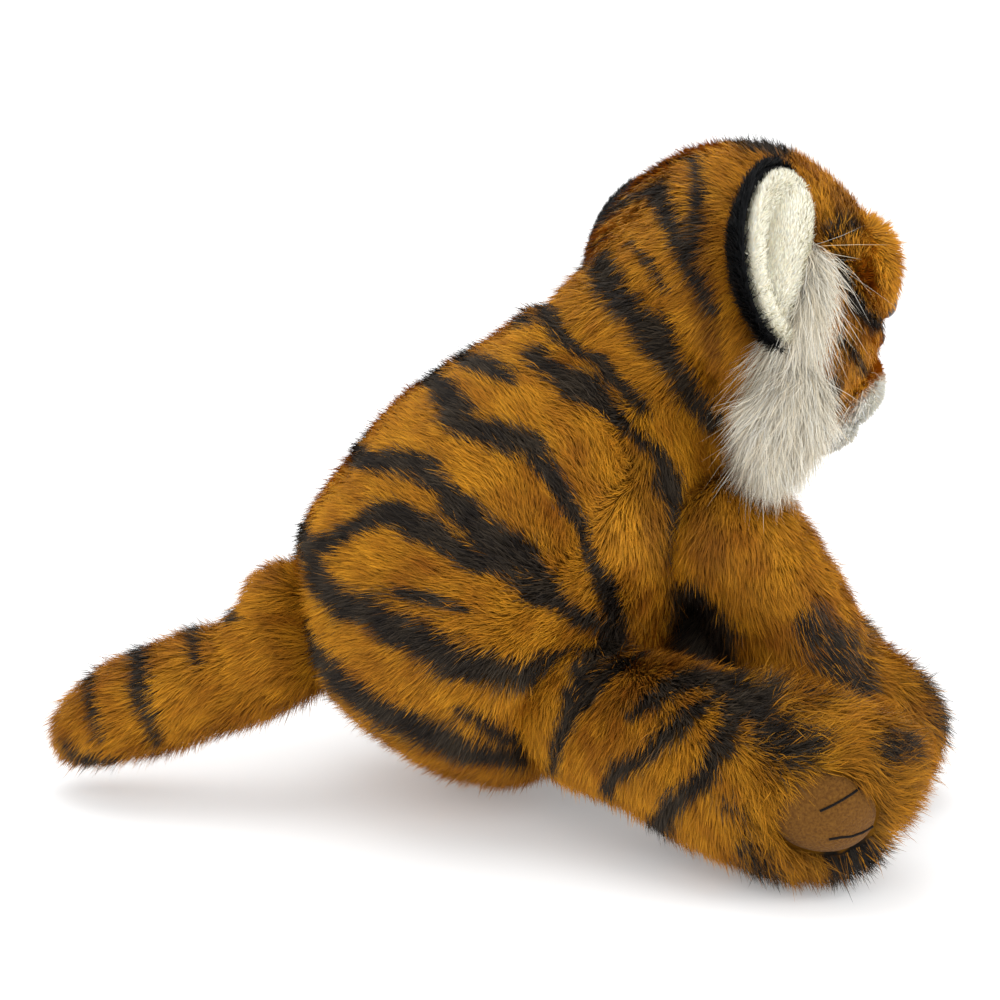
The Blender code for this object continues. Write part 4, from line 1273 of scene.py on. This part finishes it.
class TIGER_OT_face_pile(bpy.types.Operator):
    """Grows the pile of the muzzle, chin and brows"""

    bl_idname = "tiger.face_pile"
    bl_label = "Grow the face's pile"

    def execute(self, context):
        pile = context.scene.tiger_pile
        face = np.array(face_way())
        nose = np.array(node_centre("nose"))
        for node in ("muzzle", "chin"):
            cloth = CLOTHS[node + "_cloth"]
            keep = face_keep(cloth, [CLOTHS["head_hide"]], reach=0.02, depth=0.001)
            obj = grown_pile(
                node + "_pile", cloth, keep, strand_count(context, cloth, keep, 1.1),
                length=0.0040, width=0.00052, lift=math.radians(52), flow=away_flow(nose, -face),
                coat=muzzle_coat, rng=np.random.default_rng(40 + len(node)), tuft=0.003,
                clump=0.12, stray=0.12, curl=0.03, root_shade=0.8, pale_roots=1.0,
            )
            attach(obj, "head")
        for index, side in enumerate(SIDES):
            cloth = CLOTHS[side + "_brow_cloth"]
            keep = face_keep(cloth, [CLOTHS["head_hide"]], reach=0.02, depth=0.001)
            centre = np.array(node_centre(side + "_brow")) - face * 0.010
            obj = grown_pile(
                side + "_brow_pile", cloth, keep, strand_count(context, cloth, keep),
                length=0.0086, width=pile.width, lift=math.radians(42),
                flow=away_flow(centre, face * 0.3 + DOWN * 0.5),
                coat=lambda points, _: orange_coat(points), rng=np.random.default_rng(60 + index),
                tuft=0.004, clump=0.5,
            )
            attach(obj, "head")
        return {"FINISHED"}


def muzzle_coat(points, rng):
    """White below the muzzle's line, orange above it."""
    near, _ = near_side(points, True)
    spots = photo_points(near)
    start, end = np.array(MUZZLE_LINE, float)
    along = (end - start) / np.linalg.norm(end - start)
    below = (spots - start) @ np.array((along[1], -along[0]))
    white = np.clip(below / 6 + 0.5 + rng.normal(size=len(points)) * 0.35, 0, 1)
    pale = mixed(WHITE, CREAM, rng.random(len(points)) * 0.15)
    return mixed(orange_coat(points), pale, white)


# Ears and ruffs


def ear_front(side):
    """The way from an ear's back to its lining."""
    return node_centre(side + "_ear_lining") - node_centre(side + "_ear_back")


def ear_axes(side):
    """An ear's origin, and its upward, forward and sideward directions as rows."""
    joint = joint_named(side + "_ear_fold")
    up = Vector(joint["axis"]).normalized()
    front = ear_front(side)
    front = (front - up * front.dot(up)).normalized()
    return Vector(joint["pos_m"]), Matrix((up, front, up.cross(front) * OUT[side]))


def lining_rolls(side):
    """Balls of filling along the lining of an ear, placed by the photo on the near ear."""
    head = CLOTHS["head_hide"].tree
    origin, axes = ear_axes("right")
    own_origin, own_axes = ear_axes(side)
    rolls = []
    marks = np.array(LINING, float)
    steps = np.linspace(0, len(marks) - 1, 3 * len(marks) - 2)
    for x, y, half in np.stack([np.interp(steps, range(len(marks)), row) for row in marks.T], 1):
        ray = photo_ray((x, y))
        place = head.ray_cast(Vector(EYE_POINT), ray)[0]
        radius = half * CAMERA_DISTANCE / PHOTO_SCALE
        place = place - ray * radius * 0.35
        place = own_origin + own_axes.transposed() @ (axes @ (place - origin)) * LINING_SHARE[side]
        radius *= LINING_SHARE[side]
        rolls.append((place, (radius, radius, radius)))
    return rolls


class TIGER_OT_ears(bpy.types.Operator):
    """Sews the ears' black backs and cream linings"""

    bl_idname = "tiger.ears"
    bl_label = "Sew the ears"

    def execute(self, context):
        sizes = context.scene.tiger_hide
        rng = np.random.default_rng(8)
        for side in SIDES:
            body = side + "_ear"
            for node, slot, tone in (
                (side + "_ear_back", "black_plush", plain(EAR_BLACK, STRIPE)),
                (side + "_ear_lining", "cream_plush", plain(LINING_CREAM, CREAM)),
            ):
                lining = slot == "cream_plush"
                obj = sewn_hide(
                    node + "_cloth", [node], lining_rolls(side) if lining else [], sizes.ear_voxel,
                    smoothing=12 if lining else 3, grow=0.0014 if lining else 0.0004,
                )
                if lining:
                    forward = ear_front(side).normalized() * LINING_FORWARD
                    obj.data.transform(Matrix.Translation(forward))
                CLOTHS[node + "_cloth"] = Cloth(obj)
                # Painted shade: the ear's backing is painted a little darker than its pile, for the
                # shade under it
                paint(obj.data, tone(CLOTHS[node + "_cloth"].co, rng) * 0.9)
                padded_piece(obj, cloth_material(), slot, 0.5, node)
                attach(obj, body)
        return {"FINISHED"}


class TIGER_OT_ear_pile(bpy.types.Operator):
    """Grows the short pile of the ears"""

    bl_idname = "tiger.ear_pile"
    bl_label = "Grow the ears' pile"

    def execute(self, context):
        for index, side in enumerate(SIDES):
            up = np.array(joint_named(side + "_ear_fold")["axis"])
            back, lining = CLOTHS[side + "_ear_back_cloth"], CLOTHS[side + "_ear_lining_cloth"]
            rows = (
                ("back", back, lining, EAR_BLACK, STRIPE, 0.0062, 1.6, "black_plush"),
                ("lining", lining, back, LINING_CREAM, CREAM, 0.0032, 1.2, "cream_plush"),
            )
            front = np.array(ear_front(side))
            front /= np.linalg.norm(front)
            for part, cloth, other, tone, deep, length, share, slot in rows:
                if (side, part) == ("left", "back"):
                    length = 0.0040
                keep = face_keep(cloth, [other], reach=0.01, depth=-0.0006)
                if part == "back":
                    facing = cloth.normals[cloth.tris].mean(1) @ front
                    keep *= facing < 0.35
                keep *= face_keep(cloth, [CLOTHS["head_hide"]], reach=0.02, depth=0.003)
                obj = grown_pile(
                    f"{side}_ear_{part}_pile", cloth, keep,
                    strand_count(context, cloth, keep, share), length=length, width=0.00042,
                    lift=math.radians(38),
                    flow=steady_flow(up * 0.9 + np.array((0, OUT[side] * 0.3, 0))),
                    coat=plain(tone, deep, 0.2),
                    rng=np.random.default_rng(80 + index + len(part)), tuft=0.003, clump=0.2,
                    root_shade=0.8, tip_highlight=1.0,
                )
                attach(obj, side + "_ear")
        return {"FINISHED"}


def wispy(points):
    """How tousled the ruffs' long hair is."""
    return np.full(len(points), RUFF_TOUSLE)


class TIGER_OT_ruffs(bpy.types.Operator):
    """Sews the cheek ruffs and grows their long cream pile"""

    bl_idname = "tiger.ruffs"
    bl_label = "Sew the cheek ruffs"

    def execute(self, context):
        for index, side in enumerate(SIDES):
            node = side + "_cheek_ruff"
            obj = sewn_hide(node + "_cloth", [node], [], FACE_GRAIN, smoothing=4, grow=-0.0015)
            cloth = CLOTHS[node + "_cloth"] = Cloth(obj)
            rng = np.random.default_rng(90 + index)
            # Painted shade: the ruff's backing is painted at half its cream, for the shade under
            # its long pile
            paint(obj.data, plain(CREAM, DEEP_CREAM_AND_SHADE)(cloth.co, rng) * 0.5)
            padded_piece(obj, cloth_material(), "cream_plush", 0.4, node)
            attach(obj, "head")
            head = CLOTHS["head_hide"]
            keep = face_keep(cloth, [head], reach=0.02, depth=0.001)
            near, far = near_side(head.centres, True)
            cheek = line_distance(photo_points(near), *RUFF_ROOTS) > 0
            cheek &= far == (side == "left")
            low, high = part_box(node)
            target = np.array((low.x * 0.7 + high.x * 0.3, (low.y + high.y) / 2, low.z - 0.022))
            rows = (
                ("pile", cloth, keep, 2.3, 0.018),
                ("hair", head, cheek.astype(float), 2.4, 0.028),
            )
            for part, under, where, share, length in rows:
                # Partly painted shade: the strands are mixed strongly towards the deeper cream at
                # random to copy the shadows among them, and their roots are painted darker
                hair = grown_pile(
                    f"{side}_cheek_ruff_{part}", under, where,
                    strand_count(context, under, where, share), length=length, width=0.00024,
                    lift=math.radians(22), flow=meeting_flow(target),
                    coat=plain(CREAM, DEEP_CREAM_AND_SHADE, 0.8), rng=rng, tuft=0.0060, clump=0.42,
                    stray=0.22, pull=(-0.08, 0, -0.20), root_shade=0.6, levels=3, curl=0.17,
                    pale_roots=0.2, wild=wispy,
                )
                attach(hair, "head")
        return {"FINISHED"}


# Pads, stitches and whiskers


def foot_sole(name, side):
    """A suede sole puffed over the side of a foot, inside the outline drawn on the photo."""
    centre, radii, tilt = SOLE
    tree, eye = CLOTHS["right_hind_leg_hide"].tree, Vector(EYE_POINT)
    _, out, _, reach = tree.ray_cast(eye, photo_ray(centre))
    bm = bmesh.new()
    rows = []
    for ring in range(SOLE_RINGS + 1):
        share = ring / SOLE_RINGS
        row = []
        for i in range(SOLE_SIDES if ring else 1):
            turn = 2 * math.pi * i / SOLE_SIDES
            x, y = radii[0] * share * math.cos(turn), radii[1] * share * math.sin(turn)
            spot = (
                centre[0] + x * math.cos(tilt) - y * math.sin(tilt),
                centre[1] + x * math.sin(tilt) + y * math.cos(tilt),
            )
            place, normal, _, _ = tree.ray_cast(eye, photo_ray(spot))
            if place is None:
                place, normal, _, _ = tree.find_nearest(eye + photo_ray(spot) * reach)
            place = place + out * SOLE_PUFF * (1 - share ** 4) - normal * SOLE_TUCK * share ** 8
            if side == "left":
                place.y = -place.y
            row.append(bm.verts.new(place))
        rows.append(row)
    for i in range(SOLE_SIDES):
        j = (i + 1) % SOLE_SIDES
        bm.faces.new((rows[0][0], rows[1][i], rows[1][j]))
        for low, high in zip(rows[1:], rows[2:]):
            bm.faces.new((low[i], high[i], high[j], low[j]))
    mesh = bpy.data.meshes.new(name)
    bm.normal_update()
    if sum(face.normal.y for face in bm.faces) * OUT[side] < 0:
        bmesh.ops.reverse_faces(bm, faces=bm.faces)
    bm.to_mesh(mesh)
    bm.free()
    mesh.shade_smooth()
    obj = bpy.data.objects.new(name + "_suede", mesh)
    bpy.context.scene.collection.objects.link(obj)
    return obj


class TIGER_OT_pads(bpy.types.Operator):
    """Sews the suede pads on the paws and feet"""

    bl_idname = "tiger.pads"
    bl_label = "Sew the suede pads"

    def execute(self, context):
        suede = speckled_material(
            "suede", (0.105, 0.041, 0.007), (0.185, 0.081, 0.013), scale=1000,
            roughness=0.95, bump=1.0,
        )
        for side in SIDES:
            for kind, leg in (("front_paw_pad", "front_leg"), ("hind_foot_pad", "hind_leg")):
                node = f"{side}_{kind}"
                if kind == "hind_foot_pad":
                    obj = foot_sole(node, side)
                else:
                    obj = sewn_hide(
                        node + "_suede", [node], [], voxel=0.0012, smoothing=5, grow=0.0006
                    )
                CLOTHS[node + "_suede"] = Cloth(obj, closed=kind != "hind_foot_pad")
                padded_piece(obj, suede, "suede", 0.6, node)
                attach(obj, f"{side}_{leg}")
        return {"FINISHED"}


def thread(name, points, radius, tone, body, taper=False):
    """A thin round thread through points."""
    curve = bpy.data.curves.new(name, "CURVE")
    curve.dimensions = "3D"
    curve.bevel_depth = radius
    curve.bevel_resolution = 2
    curve.use_fill_caps = True
    spline = curve.splines.new("POLY")
    spline.points.add(len(points) - 1)
    for i, point in enumerate(points):
        spline.points[i].co = (*point, 1)
        spline.points[i].radius = 1 - 0.85 * i / (len(points) - 1) if taper else 1
    obj = bpy.data.objects.new(name, curve)
    bpy.context.scene.collection.objects.link(obj)
    select_only(obj)
    bpy.ops.object.convert(target="MESH")
    obj = bpy.context.object
    obj.data.materials.append(tone)
    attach(obj, body)


class TIGER_OT_stitches(bpy.types.Operator):
    """Sews the toe lines, and sets the whiskers"""

    bl_idname = "tiger.stitches"
    bl_label = "Sew toe lines and whiskers"

    def execute(self, context):
        dark = speckled_material(
            "toe_thread", (0.004, 0.003, 0.002), (0.009, 0.006, 0.005), scale=2500,
            roughness=0.9, bump=0.5,
        )
        nylon = speckled_material(
            "whisker_nylon", (0.72, 0.65, 0.50), (0.86, 0.81, 0.70), scale=400,
            roughness=0.3, bump=0.1,
        )
        pad = CLOTHS["right_hind_foot_pad_suede"]
        for number, line in enumerate(STITCH_LINES, 1):
            spots = []
            for spot in line:
                place, normal, _, _ = pad.tree.ray_cast(Vector(EYE_POINT), photo_ray(spot))
                if place is not None:
                    spots.append(place + normal * 0.0003)
            if len(spots) < 2:
                continue
            for side in SIDES:
                points = [Vector((p.x, p.y * (1 if side == "right" else -1), p.z)) for p in spots]
                name = f"{side}_toe_line_{number}"
                thread(name, points, TOE_THREAD, dark, side + "_hind_leg")
        muzzle = CLOTHS["muzzle_cloth"]
        centre = node_centre("muzzle")
        face = face_way()
        aside = Vector((-face.y, face.x, 0))
        rng = np.random.default_rng(12)
        for number, line in enumerate(WHISKER_LINES, 1):
            root = muzzle.tree.ray_cast(Vector(EYE_POINT), photo_ray(line[0]))[0]
            root = np.array(root or Vector(photo_place(line[0], centre)))
            near = np.array([
                photo_place(spot, root - CAM_FORWARD * 0.004 * i) for i, spot in enumerate(line)
            ])
            for side, points in (("right", near), ("left", other_cheek(near))):
                name = f"{side}_cheek_whisker_{number}"
                thread(name, points, CHEEK_WHISKER, nylon, "head", taper=True)
        for side in SIDES:
            for row in range(3):
                for number in range(3):
                    aim = (
                        aside * OUT[side] * (0.85 + 0.1 * number) + face * (0.10 - 0.22 * number)
                        + Vector((0, 0, 0.30 - 0.24 * row))
                    ).normalized()
                    place, normal, _, _ = muzzle.tree.ray_cast(centre + aim * 0.06, -aim)
                    if place is None:
                        continue
                    reach = 0.016 + 0.007 * rng.random()
                    droop = Vector((0, 0, -0.10 * reach * (1 + rng.random())))
                    way = (aim + normal * 0.2 - face * (0.5 + 0.3 * row)).normalized()
                    points = [
                        place + way * reach * t / 6 + droop * (t / 6) ** 2 * 2 - way * 0.001
                        for t in range(7)
                    ]
                    name = f"{side}_whisker_{row + 1}_{number + 1}"
                    thread(name, points, MUZZLE_WHISKER, nylon, "head", taper=True)
        return {"FINISHED"}


# Stage


def paper_sweep():
    """A pale sheet that lies flat under the toy and curves up behind it."""
    profile = [(-4.0, 0.0), (0.9, 0.0)]
    for i in range(1, 13):
        turn = math.pi / 2 * i / 12
        profile.append((0.9 + 0.9 * math.sin(turn), 0.9 - 0.9 * math.cos(turn)))
    profile.append((1.8, 4.0))
    bm = bmesh.new()
    rows = [[bm.verts.new((x, y, z + PAPER_LEVEL)) for x in (-5.0, 5.0)] for y, z in profile]
    for low, high in zip(rows, rows[1:]):
        bm.faces.new((low[0], low[1], high[1], high[0]))
    mesh = bpy.data.meshes.new("paper")
    bm.to_mesh(mesh)
    bm.free()
    mesh.shade_smooth()
    obj = bpy.data.objects.new("paper", mesh)
    bpy.context.scene.collection.objects.link(obj)
    return obj


class TIGER_OT_stage(bpy.types.Operator):
    """Lays the pale floor, sets the lights and the camera"""

    bl_idname = "tiger.stage"
    bl_label = "Set the stage"

    def execute(self, context):
        settings = context.scene.tiger_stage
        paper = plain_material("paper", (0.84, 0.84, 0.84), roughness=0.95)
        shader = paper.node_tree.nodes["Principled BSDF"]
        shader.inputs["Emission Color"].default_value = (1, 1, 1, 1)
        shader.inputs["Emission Strength"].default_value = settings.paper
        floor = paper_sweep()
        floor.data.materials.append(paper)
        for name, place, size in LAMPS:
            bpy.ops.object.light_add(type="AREA", location=place)
            lamp = context.object
            lamp.name = name + "_light"
            lamp.data.size = size
            lamp.data.energy = getattr(settings, name)
            aim = LAMPS_AIM - Vector(place)
            lamp.rotation_mode = "QUATERNION"
            lamp.rotation_quaternion = aim.to_track_quat("-Z", "Y")
        world = bpy.data.worlds.new("room")
        context.scene.world = world
        world.use_nodes = True
        sky = world.node_tree.nodes["Background"]
        sky.inputs["Color"].default_value = (1, 1, 1, 1)
        sky.inputs["Strength"].default_value = settings.world
        bpy.ops.object.camera_add()
        camera = context.object
        camera.data.lens = CAMERA_LENS
        camera.data.sensor_width = CAMERA_SENSOR
        axes = Matrix((CAM_RIGHT, CAM_UP, -CAM_FORWARD)).transposed()
        camera.matrix_world = Matrix.Translation(Vector(EYE_POINT)) @ axes.to_4x4()
        context.scene.camera = camera
        context.scene.view_settings.view_transform = "Standard"
        return {"FINISHED"}


class TIGER_PT_panel(bpy.types.Panel):
    """Plush tiger in the sidebar"""

    bl_label = "Plush tiger"
    bl_idname = "TIGER_PT_panel"
    bl_space_type = "VIEW_3D"
    bl_region_type = "UI"
    bl_category = "Plush tiger"

    def draw(self, context):
        layout = self.layout
        for group in SETTINGS:
            settings = getattr(context.scene, group)
            box = layout.box()
            for name in settings.__annotations__:
                box.prop(settings, name)
        for operator in OPERATORS:
            layout.operator(operator.bl_idname)


OPERATORS = (
    TIGER_OT_hides, TIGER_OT_face, TIGER_OT_ears, TIGER_OT_ruffs, TIGER_OT_pads, TIGER_OT_pile,
    TIGER_OT_face_pile, TIGER_OT_ear_pile, TIGER_OT_stitches, TIGER_OT_stage,
)
SETTINGS = {"tiger_hide": HideSettings, "tiger_pile": PileSettings, "tiger_stage": StageSettings}


def register():
    for settings in SETTINGS.values():
        bpy.utils.register_class(settings)
    for operator in OPERATORS:
        bpy.utils.register_class(operator)
    bpy.utils.register_class(TIGER_PT_panel)
    for name, settings in SETTINGS.items():
        setattr(bpy.types.Scene, name, PointerProperty(type=settings))


def unregister():
    for name in SETTINGS:
        delattr(bpy.types.Scene, name)
    bpy.utils.unregister_class(TIGER_PT_panel)
    for operator in reversed(OPERATORS):
        bpy.utils.unregister_class(operator)
    for settings in SETTINGS.values():
        bpy.utils.unregister_class(settings)


def main():
    register()
    bpy.ops.tiger.hides()
    bpy.ops.tiger.face()
    bpy.ops.tiger.ears()
    bpy.ops.tiger.ruffs()
    bpy.ops.tiger.pads()
    bpy.ops.tiger.pile()
    bpy.ops.tiger.face_pile()
    bpy.ops.tiger.ear_pile()
    bpy.ops.tiger.stitches()
    bpy.ops.tiger.stage()


if __name__ == "__main__":
    main()
